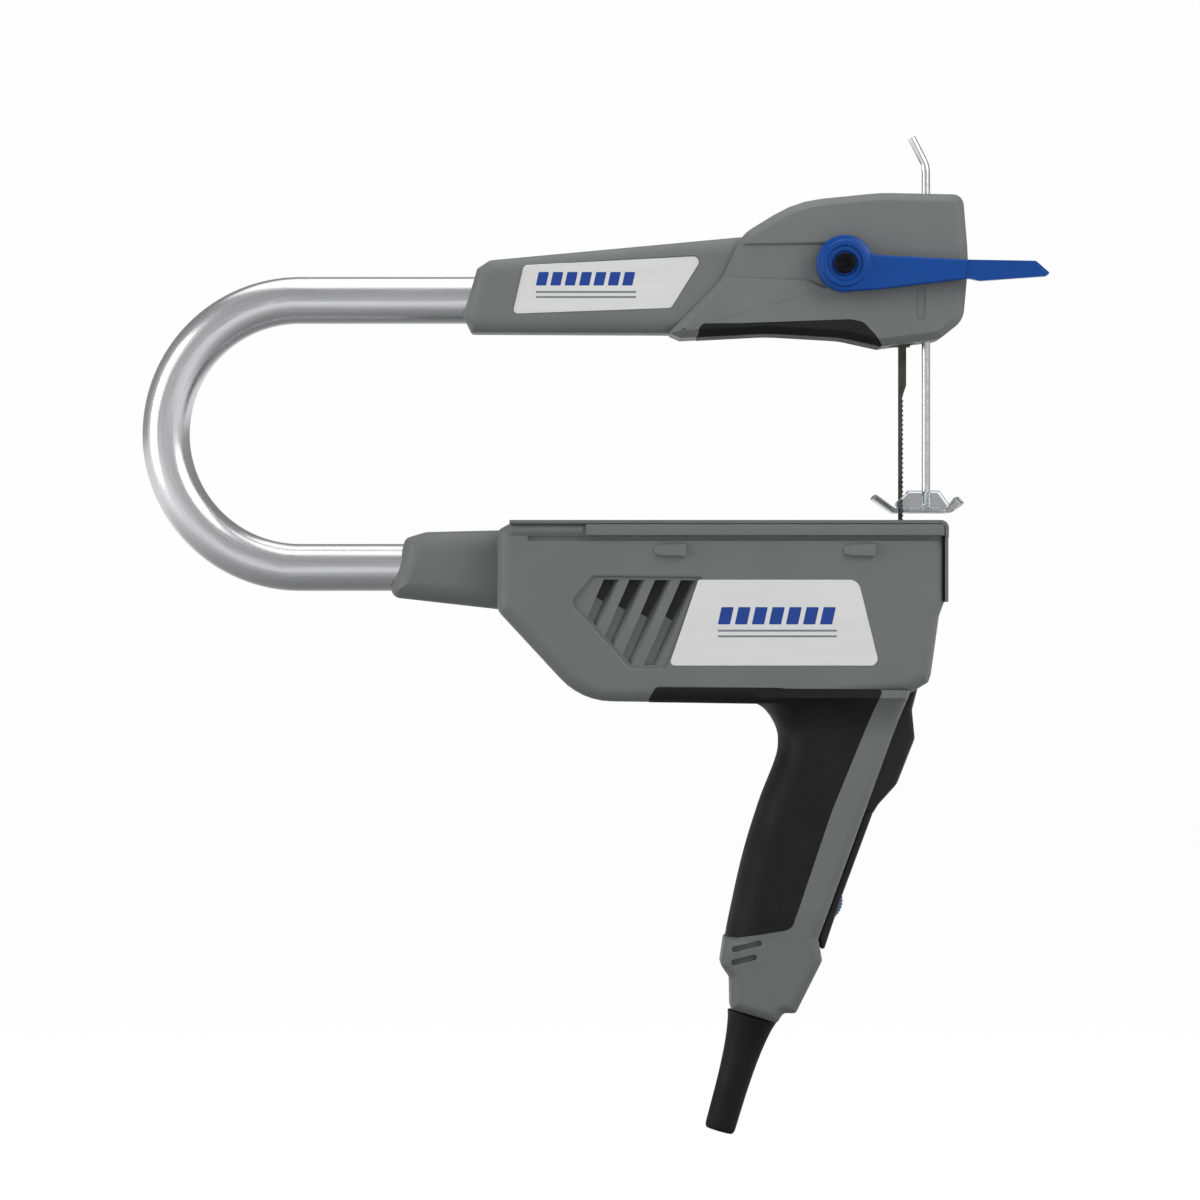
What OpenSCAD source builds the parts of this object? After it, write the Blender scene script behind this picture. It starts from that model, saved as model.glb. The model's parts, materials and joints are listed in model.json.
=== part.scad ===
// Corded coping saw. A U-shaped tube frame joins a motor housing with a pistol
// handle, below, to an arm with the blade-tension head, above. The origin is on
// the blade's axis at the table's top face. +X points away from the frame, +Z up.

/* [Frame tube] */
// Clear depth from the blade to the inside of the bend
throat = 254; // [250:1:258]
// Outside diameter of the tube
tube_d = 16.8; // [16:0.1:17]
// Wall of the tube
tube_wall = 1.5; // [1:0.1:2.5]
// Height of the upper run's axis above the table
tube_top_z = 78.7; // [78:0.1:79]
// Depth of the lower run's axis below the table
tube_low_z = -16.6; // [-17:0.1:-16]

/* [Widths] */
// Width of the motor housing
body_w = 54; // [52:0.5:56]
// Width of the docking rails along the table
rail_w = 58; // [57:0.5:60]
// Width of the handle
handle_w = 35; // [33:0.5:36]
// Width of the tube socket at the housing's rear
nose_w = 25; // [24:0.5:26]
// Width of the arm behind the head
arm_w = 27; // [26:0.5:28]
// Width of the tension head
head_w = 35; // [34:0.5:36]

/* [Shells] */
// Wall of the moulded shells
wall = 2.4; // [1.8:0.1:2.6]
// Step that eases the shells' outer edges
edge = 1.2; // [0.6:0.1:1.5]
// Thickness of the rubber on the handle
grip_t = 2.2; // [1.5:0.1:2.4]
// Thickness of the rubber round the housing's lower edge
skin = 1.1; // [0.8:0.1:1.2]

/* [Table] */
// Thickness of the folded steel table plate
table_t = 1.2; // [1:0.1:1.2]
// Length of the slot that the blade passes through
slot_len = 14; // [10:0.5:16]
// Width of that slot
slot_w = 4; // [3:0.5:6]

/* [Blade] */
// Length of the pinned blade
blade_len = 104; // [102:0.5:105]
// Thickness of the blade
blade_t = 0.6; // [0.4:0.1:0.8]
// Width of the toothed length
tooth_w = 1.9; // [1.6:0.1:2.4]
// Distance from tooth to tooth
tooth_pitch = 1.7; // [1.4:0.1:2.4]
// Stroke of the blade from end to end
stroke = 16; // [14:0.5:16]

/* [Gears] */
// Gear module, pitch diameter over tooth count
gear_module = 0.7; // [0.7:0.1:0.7]
// Teeth on the motor pinion
pinion_teeth = 9; // [9:1:9]
// Teeth on the crank gear
crank_teeth = 40; // [38:1:40]
// Height of the motor's axis
motor_z = -26; // [-26.5:0.1:-25.5]

/* [Tension] */
// Length of the lever from its pivot
lever_len = 73; // [60:1:80]
// Lift of the blade's spring seat over half a turn of the lever
tension_lift = 3; // [2:0.1:3]

/* [Foot] */
// Diameter of the material foot's rod
foot_rod_d = 3; // [2.8:0.1:3.2]
// Gap under the foot above the table
foot_gap = 2.8; // [2.5:0.1:4]

/* [Cord boot] */
// Length of the boot outside the handle
boot_len = 42.8; // [35:0.1:45]
// Diameter of the hole for the cord
cord_bore_d = 7.2; // [6.5:0.1:8]

/* [Hidden] */
$fn = 48;

// Colours
shell_grey = [0.40, 0.41, 0.41];
grip_black = [0.13, 0.13, 0.14];
label_silver = [0.82, 0.83, 0.85];
steel = [0.72, 0.73, 0.74];
dark_steel = [0.40, 0.40, 0.41];
alloy = [0.62, 0.63, 0.64];
copper = [0.72, 0.42, 0.22];
brass = [0.76, 0.62, 0.30];
lever_blue = [0.05, 0.25, 0.55];
clear_tint = [0.80, 0.84, 0.86, 0.5];

// Clearances
running = 0.05;
gap = 0.3;

// Sides of the object: the right-hand shells lie at -Y
right = -1;
left = 1;

// Frame tube
tube_r = tube_d / 2;
bend_r = (tube_top_z - tube_low_z) / 2;
bend_x = -throat - tube_r + bend_r;
bend_z = (tube_top_z + tube_low_z) / 2;
tube_top_end_x = -120;
tube_low_end_x = -134;

// Heights along the table's edge
rail_top = -table_t;
rail_bottom = -5.6;
groove_bottom = -7.2;
rail_groove_w = body_w - 3;
// Drop over which the table's front flange keeps the full width
rail_bottom_gap = 6;
// Inside radius of the fold in the table plate
fold_r = 1.6;

// Motor and drive train, along X
shaft_r = 3;
rear_bearing_x = -125;
bearing_t = 6;
bearing_r = 9.5;
front_bearing_x = -42;
stator_x0 = -96;
stator_x1 = -61;
stator_r = 21;
rotor_r = 12.7;
air_gap = 0.4;
winding_len = 4.5;
comm_x0 = -114;
comm_x1 = -103;
comm_r = 8;
fan_x0 = -53;
fan_x1 = -45;
fan_r = 19;
pinion_x0 = -27;
pinion_x1 = -17;
stub_r = 1.6;
gear_x0 = -24;
gear_x1 = -17.5;
centre_distance = gear_module * (pinion_teeth + crank_teeth) / 2;
gear_z = motor_z - centre_distance;
gear_pin_r = 3;
crank_r = stroke / 2;
roller_r = 3;

// Yoke plate and its guides
yoke_x0 = -14;
yoke_x1 = -11;
rod_y = 18;
rod_r = 2;
bracket_x0 = -41;
bracket_x1 = -35;
bracket_front_x = -8.5;
bracket_top_z = -8.8;
bracket_bottom_z = -59.85;
plate_t = 1.8;

// Blade ends
blade_top_z = 67.4;
blade_bottom_z = blade_top_z - blade_len;
shank_len = 22;
pin_inset = 2.2;
holder_h = 9;

// Tension head
pivot_x = -21;
pivot_z = 90.7;
cam_base_h = 5;
cam_rate = tension_lift / PI;
cam_w = 10;
plunger_r = 2.5;
plunger_top_z = 104.5;
guide_block_z0 = 79.5;
guide_block_z1 = 84.5;
seat_z0 = 85.5;
seat_z1 = 87.5;
collar_z0 = 103;
collar_z1 = 104.5;
carriage_rod_x = -10;
carriage_rod_r = 1.5;
follower_z = pivot_z + cam_base_h + running;

// Lever, outboard of the head on the right
lever_y0 = -head_w / 2 - 0.5;
lever_t = 6.5;
hub_r = 10;

// Foot
foot_x = 8.8;
foot_top_z = 127;
foot_tip = [-5.4, 10.6];

// Handle
handle_top_front = [2.1, -60.7];
handle_slope = 0.3656;
paddle_pivot = [0.4, -63.6];
dial_centre = [-28.8, -135.3];
dial_r = 8;
pot_r = 3;
paddle_w = 12;

// Cord boot
boot_x = -53.2;
boot_z = -176.4;
boot_tilt = 16;

// ---------------------------------------------------------------- outlines
function unit(v) = v / norm(v);
function at(list, i) = list[(i + len(list)) % len(list)];
function xz(p) = [p[0], p[1]];

// Points of one corner p between a and b, rounded to radius r
function corner(a, p, b, r) =
    r == 0 ? [p] :
    let (u = unit(a - p), v = unit(b - p), half = acos(u * v) / 2)
    let (c = p + unit(u + v) * r / sin(half), s = p + u * r / tan(half) - c)
    let (from = atan2(s[1], s[0]), sign = cross(p - a, b - p) > 0 ? 1 : -1)
    let (sweep = 180 - 2 * half, n = max(1, ceil(sweep / 12)))
    [for (i = [0 : n]) c + r * [cos(from + sign * sweep * i / n), sin(from + sign * sweep * i / n)]];

// Counter-clockwise outline of [x, z, radius] corners as points
function rounded(o) =
    [for (i = [0 : len(o) - 1]) each corner(xz(at(o, i - 1)), xz(o[i]), xz(at(o, i + 1)), o[i][2])];

// The same corners moved inwards by d, with their radii kept concentric
function inset(o, d) =
    [for (i = [0 : len(o) - 1])
        let (a = xz(at(o, i - 1)), p = xz(o[i]), b = xz(at(o, i + 1)))
        let (e = unit(p - a), f = unit(b - p))
        let (n = [-e[1], e[0]], m = [-f[1], f[0]], turn = cross(e, f))
        let (q = p + (n + m) * d / (1 + n * m))
        [q[0], q[1], o[i][2] == 0 ? 0 : turn > 0 ? max(0, o[i][2] - d) : o[i][2] + d]];

// Motor housing without its socket and handle
body_outline = [
    [-143.8, -31.9, 5], [-114.2, -63.9, 25], [-44, -64.9, 0], [3, -61.5, 1.5], [8.9, -58, 1.5],
    [9.5, -54.5, 3], [12.3, -33.8, 3], [14.2, -29, 2], [14.2, rail_top, fold_r + running], [-139.4, rail_top, 1],
    [-143.8, -3.6, 3]
];
// Socket for the lower run of the tube
nose_outline = [
    [-179.8, -27.4, 1], [-140, -32, 0], [-136, -30, 0], [-136, -3.2, 0], [-169.5, -4, 6],
    [-176.8, -6.2, 3], [-182.4, -24.6, 1.2]
];
// Handle, from inside the housing down to the boot
handle_outline = [
    [-32, -60, 0], [-43.6, -61.5, 0], [-43.6, -66, 0], [-45, -80, 30], [-57, -118, 100],
    [-64.8, -157.5, 2.5], [-61.4, -162.5, 3], [-61.2, -173.4, 1], [-44.6, -178.4, 1],
    [-42.4, -174.9, 2], [-38, -175, 1.5], [-28.6, -156.3, 2], [-30, -148.5, 2], [2.1, -60.7, 0],
    [0, -58, 0]
];
handle_cavity = [
    [-38, -60, 0], [-38.4, -67, 3], [-40.6, -80, 30], [-52.4, -118, 100], [-57.6, -146, 4],
    [-34, -148.5, 4], [-3, -64.5, 3], [-4, -60, 0]
];
// Rubber over the handle and the housing's lower edge, and the core left inside it
grip_outline = [
    [-7.9, -59.8, 1], [-87.8, -58.9, 1.5], [-90.2, -63.1, 1], [-90.2, -70, 0], [-70, -70, 0],
    [-70, -150, 0], [-62.7, -148.3, 0], [-47.6, -146.7, 4], [-39.4, -142.5, 1.5], [-36.5, -135.2, 20],
    [-25.4, -102.4, 100]
];
grip_core = [
    [4, -60, 0], [-40.6, -60, 0], [-41.4, -67, 0], [-42.8, -80, 30], [-54.9, -118, 100],
    [-62, -152, 0], [-30, -152, 0]
];
// Arm from the tube's upper end to the head's front
head_bottom = [
    [-79, 64.7, 3], [-48, 66.3, 60], [-22, 64.8, 30], [-8, 61.7, 4], [13, 64.4, 6],
    [21.3, 71, 8], [23.2, 92, 60], [21.2, 115.6, 4], [-8, 116.2, 60], [-38, 113.2, 40],
    [-57.5, 101.2, 12]
];
arm_outline = concat([[-153.4, 66.8, 1.5], [-84.5, 66.5, 4]], head_bottom,
                     [[-146.6, 92.8, 3], [-151.2, 89.6, 1.5], [-156.2, 72.6, 1.5]]);
head_outline = concat([[-83.2, 66.5, 0.6]], head_bottom, [[-58.4, 98.6, 1], [-64.6, 85.4, 20]]);
arm_pad_outline = [
    [-73.5, 60, 0], [-7.4, 60, 0], [-7.9, 62.4, 0], [-10.1, 65.7, 3], [-14.4, 70.3, 5],
    [-19, 71.1, 6], [-57.5, 69.7, 60], [-71.4, 69.6, 2.5], [-73, 66, 1]
];
lower_badge = [
    [-83.2, -51.4, 2], [-8.9, -51.4, 4], [-16.4, -21, 4], [-72.8, -21, 1]
];
upper_badge = [
    [-138.7, 73.3, 1.5], [-82.2, 75.4, 2], [-70.6, 94, 2], [-134.7, 90.6, 2]
];
vent_outline = [
    [-84.3, -52.1, 1], [-71, -20.4, 1], [-110, -20, 3], [-117.5, -29.3, 3], [-96.7, -52.1, 3]
];
vent_depth = 0.8;

// Side-view points as a plate between two widths
module plate(points, y0, y1) {
    translate([0, max(y0, y1), 0])
        rotate([90, 0, 0])
            linear_extrude(abs(y1 - y0))
                polygon(points);
}

// Half of a shell's outside, from the middle plane to half of width w
module soft_half(outline, w, side) {
    plate(rounded(outline), 0, side * (w / 2 - edge));
    plate(rounded(inset(outline, edge)), 0, side * w / 2);
}

module rod_x(x0, x1, r, y = 0, z = 0) {
    translate([x0, y, z])
        rotate([0, 90, 0])
            cylinder(h = x1 - x0, r = r);
}

module rod_y(y0, y1, r, x, z) {
    translate([x, y1, z])
        rotate([90, 0, 0])
            cylinder(h = y1 - y0, r = r);
}

module rod_z(z0, z1, r, x = 0, y = 0) {
    translate([x, y, z0])
        cylinder(h = z1 - z0, r = r);
}

module ring_x(x0, x1, outer, inner, z) {
    difference() {
        rod_x(x0, x1, outer, z = z);
        rod_x(x0 - 1, x1 + 1, inner, z = z);
    }
}

module block(low, high) {
    translate(low)
        cube(high - low);
}

// ---------------------------------------------------------------- screws
housing_screw_spots = [[-131, -38], [-50, -56], [5, -14], [-128, -10.2], [-27, -111],
                       [-38.4, -165.5]];
arm_screw_spots = [[-112, 90], [-66, 75.5], [12, 108], [14, 76]];
screw_r = 1.7;
head_r = 3.3;
boss_r = 4.2;

// One cross-head screw from the left shell into the right one
module shell_screw(x, z, w) {
    difference() {
        union() {
            rod_y(-w / 2 + 4.5, w / 2 - 5, screw_r, x, z);
            rod_y(w / 2 - 5, w / 2 - 2.6, head_r, x, z);
        }
        for (turn = [0, 90])
            translate([x, w / 2 - 2.6, z])
                rotate([0, turn, 0])
                    cube([3.4, 2.4, 0.8], center = true);
    }
}

// Boss that takes the screw, on one side of the middle plane
module screw_boss(x, z, w, side) {
    if (side == left)
        rod_y(0, w / 2 - 1, boss_r, x, z);
    else
        rod_y(-w / 2 + 1, 0, boss_r, x, z);
}

module screw_hole(x, z, w, side) {
    if (side == left) {
        rod_y(-1, w / 2 + 1, screw_r + running, x, z);
        rod_y(w / 2 - 5, w / 2 + 1, head_r + running, x, z);
    } else {
        rod_y(-w / 2 + 4.4, 1, screw_r + running, x, z);
    }
}

// Widths of the housing and the arm at a screw's place
function housing_width(z) = z < -66 ? handle_w : body_w;
function arm_width(x) = x < -84 ? arm_w : head_w;

// ---------------------------------------------------------------- motor housing
module grip_half(side) {
    difference() {
        union() {
            intersection() {
                soft_half(handle_outline, handle_w, side);
                plate(rounded(grip_outline), 0, side * handle_w);
            }
            intersection() {
                soft_half(body_outline, body_w, side);
                plate(rounded(grip_outline), 0, side * body_w);
            }
        }
        plate(rounded(inset(body_outline, skin)), -side, side * (body_w / 2 - skin));
        plate(rounded(grip_core), -side, side * (handle_w / 2 - grip_t));
    }
}

// Slanted air slots; the rear ones are shorter
module vent_slots(side) {
    top_z = -20.6;
    pitch = 9.1;
    lengths = [16.5, 25, 31.5, 34];
    for (i = [0 : len(lengths) - 1])
        translate([-104.1 + i * pitch, side * body_w / 2, top_z])
            rotate([0, 25, 0])
                translate([-1.6, -6, -lengths[i]])
                    cube([3.2, 12, lengths[i]]);
}

module motor_housing(side) {
    y_in = side * (body_w / 2 - wall);
    difference() {
        union() {
            difference() {
                union() {
                    soft_half(body_outline, body_w, side);
                    soft_half(handle_outline, handle_w, side);
                    plate(rounded([[-139.4, rail_bottom, 0], [14.2, rail_bottom, 0],
                                   [14.2, rail_top, fold_r + running], [-139.4, rail_top, 0]]),
                          0, side * rail_w / 2);
                    for (x = [-82.2, -15.7])
                        block([x - 5, side == left ? 20 : -rail_w / 2, -12.9],
                              [x + 5, side == left ? rail_w / 2 : -20, -8.6]);
                }
                plate([[-139.4, groove_bottom], [14.2, groove_bottom], [14.2, rail_bottom],
                       [-139.4, rail_bottom]], side * rail_groove_w / 2, side * rail_w);
                intersection() {
                    plate(rounded(inset(body_outline, wall)), -side, y_in);
                    block([-132, -40, -70], [20, 40, rail_bottom + 1.9]);
                }
                plate(rounded(handle_cavity), -side, side * (handle_w / 2 - grip_t - wall));
            }
            soft_half(nose_outline, nose_w, side);
            for (s = housing_screw_spots)
                screw_boss(s[0], s[1], housing_width(s[1]), side);
            // Seat of the rear bearing
            plate([[-126.5, motor_z - 14], [-118.5, motor_z - 14], [-118.5, motor_z + 14],
                   [-126.5, motor_z + 14]], 0, side * 14);
        }
        rod_x(-190, tube_low_end_x, tube_r, z = tube_low_z);
        rod_x(rear_bearing_x, -100, bearing_r, z = motor_z);
        rod_x(-140, -100, shaft_r + 1, z = motor_z);
        for (s = housing_screw_spots)
            screw_hole(s[0], s[1], housing_width(s[1]), side);
        grip_half(side);
        vent_slots(side);
        plate(rounded(vent_outline), side * (body_w / 2 - vent_depth), side * body_w);
        badge(lower_badge, body_w, side);
        // Slot through which the blade runs and the table plate's front flange lies
        block([-slot_len + 4, -slot_w / 2, -10], [4, slot_w / 2, 1]);
        // Opening for the paddle
        plate([[-24, -98], [-19, -106], [-8, -106], [7.6, -66], [7.6, -56.8], [-9, -56.8]],
              -side, side * (paddle_w / 2 + 0.5));
        rod_y(-10, 10, 1.5, paddle_pivot[0], paddle_pivot[1]);
        // Pocket for the speed dial
        rod_y(-3.4, 3.4, dial_r + 0.6, dial_centre[0], dial_centre[1]);
        rod_y(-9.2, 9.2, pot_r + 0.1, dial_centre[0], dial_centre[1]);
        // Passage for the cord and seat for the boot
        on_boot_axis()
            rod_z(-4, 30, 7);
        if (side == left)
            rod_y(0, 30, 2.25, tube_screw_spots[1][0], tube_screw_spots[1][1]);
    }
}

module motor_housing_right() {
    color(shell_grey)
        motor_housing(right);
}

module motor_housing_left() {
    color(shell_grey)
        motor_housing(left);
}

module grip_pad_right() {
    color(grip_black)
        difference() {
            grip_half(right);
            for (s = housing_screw_spots)
                screw_hole(s[0], s[1], housing_width(s[1]), right);
        }
}

module grip_pad_left() {
    color(grip_black)
        difference() {
            grip_half(left);
            for (s = housing_screw_spots)
                screw_hole(s[0], s[1], housing_width(s[1]), left);
        }
}

module housing_screws() {
    color(dark_steel)
        for (s = housing_screw_spots)
            shell_screw(s[0], s[1], housing_width(s[1]));
}

// Folded plate: the flat top and a short flange over the housing's front
module table_plate() {
    back_x = -139.4;
    front_x = 14.2;
    flange_z = -28.9;
    section = [[back_x, -table_t, 0], [front_x, -table_t, fold_r], [front_x, flange_z, 0],
               [front_x + table_t, flange_z, 0.4], [front_x + table_t, 0, fold_r + table_t], [back_x, 0, 0]];
    color(dark_steel)
        difference() {
            plate(rounded(section), -rail_w / 2, rail_w / 2);
            for (side = [right, left])
                plate([[front_x - fold_r, -rail_bottom_gap], [front_x + 5, -rail_bottom_gap],
                       [front_x + 5, -40], [front_x - fold_r, -40]], side * (body_w / 2 - 1), side * rail_w);
            block([-slot_len + 4, -slot_w / 2, -5], [4, slot_w / 2, 5]);
        }
}

// Silver label let 0.4 mm into a shell and standing 0.2 mm proud
module badge(outline, w, side) {
    plate(rounded(outline), side * (w / 2 - 0.4), side * (w / 2 + 0.2));
}

module badge_lower_right() {
    color(label_silver)
        badge(lower_badge, body_w, right);
}

module badge_lower_left() {
    color(label_silver)
        badge(lower_badge, body_w, left);
}

// Line of the handle's front edge
function front_x(z) = handle_top_front[0] + (z - handle_top_front[1]) * handle_slope + running;

module front_strip() {
    z0 = -148.5;
    z1 = -106.4;
    color(grip_black)
        difference() {
            plate([[front_x(z0), z0], [-29.1, z0 - 4], [-27.9, z0 - 4], [front_x(-134) + 3.2, -134],
                   [front_x(z1) + 3.5, z1], [front_x(z1), z1]], -7, 7);
            rod_y(-3.4, 3.4, dial_r + 0.6, dial_centre[0], dial_centre[1]);
        }
}

// ---------------------------------------------------------------- cord boot
module on_boot_axis() {
    translate([boot_x, 0, boot_z])
        rotate([0, boot_tilt, 0])
            children();
}

// Radius of the boot a way down its length: a quick taper that levels out
function boot_r(way) = 5.3 + 3.6 * exp(-way / 0.3);

// Tapered strain relief, held in the handle's base by its neck
module cord_boot() {
    rings = 10;
    profile = concat(
        [[cord_bore_d / 2, -boot_len], [boot_r(1) - 0.6, -boot_len]],
        [for (i = [rings : -1 : 0]) [boot_r(i / rings), -boot_len * (i / rings) - (i == rings ? -0.6 : 0)]],
        [[7, 0], [7, 5], [cord_bore_d / 2, 5]]);
    color(grip_black)
        on_boot_axis()
            rotate_extrude()
                polygon(profile);
}

module cord_clamp() {
    color(shell_grey)
        on_boot_axis()
            difference() {
                block([-6, -11, 32], [6, 11, 37]);
                rod_z(0, 40, cord_bore_d / 2);
                for (y = [-8, 8])
                    rod_z(0, 40, 1.5, y = y);
            }
}

// ---------------------------------------------------------------- frame tube
module frame_tube() {
    color(steel)
        union() {
            difference() {
                rod_x(bend_x, tube_top_end_x, tube_r, z = tube_top_z);
                rod_x(bend_x, tube_top_end_x + 1, tube_r - tube_wall, z = tube_top_z);
            }
            difference() {
                rod_x(bend_x, tube_low_end_x, tube_r, z = tube_low_z);
                rod_x(bend_x, tube_low_end_x + 1, tube_r - tube_wall, z = tube_low_z);
            }
            translate([bend_x, 0, bend_z])
                rotate([90, 0, 0])
                    rotate([0, 0, 90])
                        rotate_extrude(angle = 180, $fn = 96)
                            translate([bend_r, 0])
                                difference() {
                                    circle(r = tube_r);
                                    circle(r = tube_r - tube_wall);
                                }
        }
}

tube_screw_spots = [[-138, tube_top_z], [-154, tube_low_z]];

module tube_screws() {
    color(dark_steel)
        for (s = tube_screw_spots)
            rod_y(tube_r + 0.1, arm_w / 2 - 1, 2.2, s[0], s[1]);
}

// ---------------------------------------------------------------- motor
module stator_core() {
    color(dark_steel)
        difference() {
            ring_x(stator_x0, stator_x1, stator_r, rotor_r + air_gap, motor_z);
            intersection() {
                ring_x(stator_x0 - 1, stator_x1 + 1, 18.8, rotor_r, motor_z);
                block([stator_x0 - 2, -30, motor_z - 8.6], [stator_x1 + 2, 30, motor_z + 8.6]);
            }
        }
}

module field_coils() {
    color(copper)
        for (side = [0, 1])
            translate([0, 0, motor_z])
                mirror([0, 0, side])
                    field_coil();
}

// One saddle coil above the motor's axis
module field_coil() {
    end = 4.2;
    intersection() {
        ring_x(stator_x0 - end, stator_x1 + end, 18.5, rotor_r + 0.7, 0);
        union() {
            block([stator_x0 - end, -20, 0.4], [stator_x1 + end, 20, 8.2]);
            block([stator_x0 - end, -20, 0.4], [stator_x0 - 0.1, 20, 20]);
            block([stator_x1 + 0.1, -20, 0.4], [stator_x1 + end, 20, 20]);
        }
    }
}

brush_x = (comm_x0 + comm_x1) / 2;

module brush_holders() {
    color(brass)
        for (side = [-1, 1])
            translate([brush_x, side * 15.5, motor_z])
                difference() {
                    cube([8, 12, 9], center = true);
                    cube([5.1, 14, 6.1], center = true);
                }
}

module carbon_brushes() {
    color([0.18, 0.18, 0.19])
        for (side = [-1, 1])
            translate([brush_x, side * (comm_r + gap + 5), motor_z])
                cube([5, 10, 6], center = true);
}

module bearing(x) {
    color(steel)
        difference() {
            ring_x(x, x + bearing_t, bearing_r, shaft_r + running, motor_z);
            for (face = [x, x + bearing_t])
                ring_x(face - 0.4, face + 0.4, 7.6, 5, motor_z);
        }
}

module rear_bearing() {
    bearing(rear_bearing_x);
}

module front_bearing() {
    bearing(front_bearing_x);
}

module armature_shaft() {
    color(steel)
        union() {
            rod_x(rear_bearing_x, pinion_x0 - 2, shaft_r, z = motor_z);
            rod_x(pinion_x0 - 2, pinion_x1, stub_r, z = motor_z);
        }
}

module armature_core() {
    slots = 12;
    color(dark_steel)
        difference() {
            ring_x(stator_x0 - 0.5, stator_x1 + 0.5, rotor_r, shaft_r, motor_z);
            for (i = [0 : slots - 1])
                translate([stator_x0 - 1, 0, motor_z])
                    rotate([i * 360 / slots, 0, 0])
                        translate([0, -0.9, 9])
                            cube([stator_x1 - stator_x0 + 2, 1.8, 5]);
        }
}

module armature_windings() {
    color(copper) {
        ring_x(stator_x0 - 0.5 - winding_len, stator_x0 - 0.5, 11, shaft_r, motor_z);
        ring_x(stator_x1 + 0.5, stator_x1 + 0.5 + winding_len, 11, shaft_r, motor_z);
    }
}

module commutator() {
    bars = 12;
    color(copper)
        difference() {
            ring_x(comm_x0, comm_x1, comm_r, shaft_r, motor_z);
            for (i = [0 : bars - 1])
                translate([comm_x0 - 1, 0, motor_z])
                    rotate([i * 360 / bars, 0, 0])
                        translate([0, -0.25, comm_r - 0.8])
                            cube([comm_x1 - comm_x0 - 1, 0.5, 2]);
        }
}

module cooling_fan() {
    blades = 11;
    color(grip_black)
        difference() {
            union() {
                rod_x(fan_x0, fan_x1, 7, z = motor_z);
                rod_x(fan_x1 - 1.5, fan_x1, fan_r, z = motor_z);
                for (i = [0 : blades - 1])
                    translate([fan_x0 + 0.6, 0, motor_z])
                        rotate([i * 360 / blades, 0, 0])
                            translate([0, -0.7, 5])
                                cube([fan_x1 - fan_x0 - 1.2, 1.4, fan_r - 5.6]);
            }
            rod_x(fan_x0 - 1, fan_x1 + 1, shaft_r, z = motor_z);
        }
}

// ---------------------------------------------------------------- gears
// Spur gear with straight-sided teeth, in the YZ plane. A tooth points along
// `phase` degrees from +Y
module spur(teeth, x0, x1, phase, slack) {
    pitch_r = gear_module * teeth / 2;
    tip_r = pitch_r + 0.9 * gear_module;
    root_r = pitch_r - 1.15 * gear_module;
    quarter = 90 / teeth - slack / pitch_r * 180 / PI;
    points = [for (i = [0 : teeth - 1], k = [-1.55, -1, -0.42, 0.42, 1, 1.55])
        let (r = abs(k) < 0.5 ? tip_r : abs(k) == 1 ? pitch_r : root_r)
        r * [cos(phase + i * 360 / teeth + k * quarter), sin(phase + i * 360 / teeth + k * quarter)]];
    translate([x0, 0, 0])
        rotate([90, 0, 90])
            linear_extrude(x1 - x0)
                polygon(points);
}

module pinion() {
    color(steel)
        translate([0, 0, motor_z])
            difference() {
                spur(pinion_teeth, pinion_x0, pinion_x1, 270, 0.06);
                rod_x(pinion_x0 - 1, pinion_x1 + 1, stub_r);
            }
}

module crank_gear() {
    color(alloy)
        translate([0, 0, gear_z])
            difference() {
                union() {
                    spur(crank_teeth, gear_x0, gear_x1, 90 + 180 / crank_teeth, 0.06);
                    rod_x(-33, gear_x0, 5.5);
                }
                rod_x(-40, 0, gear_pin_r + running);
                rod_x(gear_x1 - 3, 0, 1.5, y = crank_r);
            }
}

// Roller on its pin in the gear's face. It stops just short of the yoke's slot
module crank_roller() {
    color(steel)
        union() {
            rod_x(gear_x1 - 3, gear_x1 + 0.4, 1.5, y = crank_r, z = gear_z);
            rod_x(gear_x1 + 0.3, yoke_x0 - gap, roller_r, y = crank_r, z = gear_z);
        }
}

module gear_pin() {
    color(steel)
        union() {
            rod_x(bracket_x0 + 1, gear_x1 + 0.2, gear_pin_r, z = gear_z);
            rod_x(gear_x1 + 0.2, gear_x1 + 1.2, 4.2, z = gear_z);
        }
}

// Cast frame: back plate with the bearing seat, and a top and a bottom plate that
// carry the guide rods
module gear_bracket() {
    half = 22;
    color(alloy)
        difference() {
            union() {
                block([bracket_x0, -half, bracket_bottom_z], [bracket_x1, half, bracket_top_z]);
                for (side = [-1, 1])
                    block([bracket_x1 - 1, side * rod_y - 4, bracket_top_z - 3],
                          [bracket_front_x, side * rod_y + 4, bracket_top_z]);
                block([bracket_x1 - 1, -half, bracket_bottom_z],
                      [bracket_front_x, half, bracket_bottom_z + plate_t]);
            }
            rod_x(front_bearing_x - 1, bracket_x1 + 1, bearing_r, z = motor_z);
            rod_x(bracket_x0 - 1, bracket_x1 + 1, gear_pin_r, z = gear_z);
            for (side = [-1, 1])
                rod_z(bracket_bottom_z - 1, bracket_top_z + 1, rod_r, x = (yoke_x0 + yoke_x1) / 2,
                      y = side * rod_y);
        }
}

module guide_rods() {
    color(steel)
        for (side = [-1, 1])
            rod_z(bracket_bottom_z, bracket_top_z, rod_r, x = (yoke_x0 + yoke_x1) / 2, y = side * rod_y);
}

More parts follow.
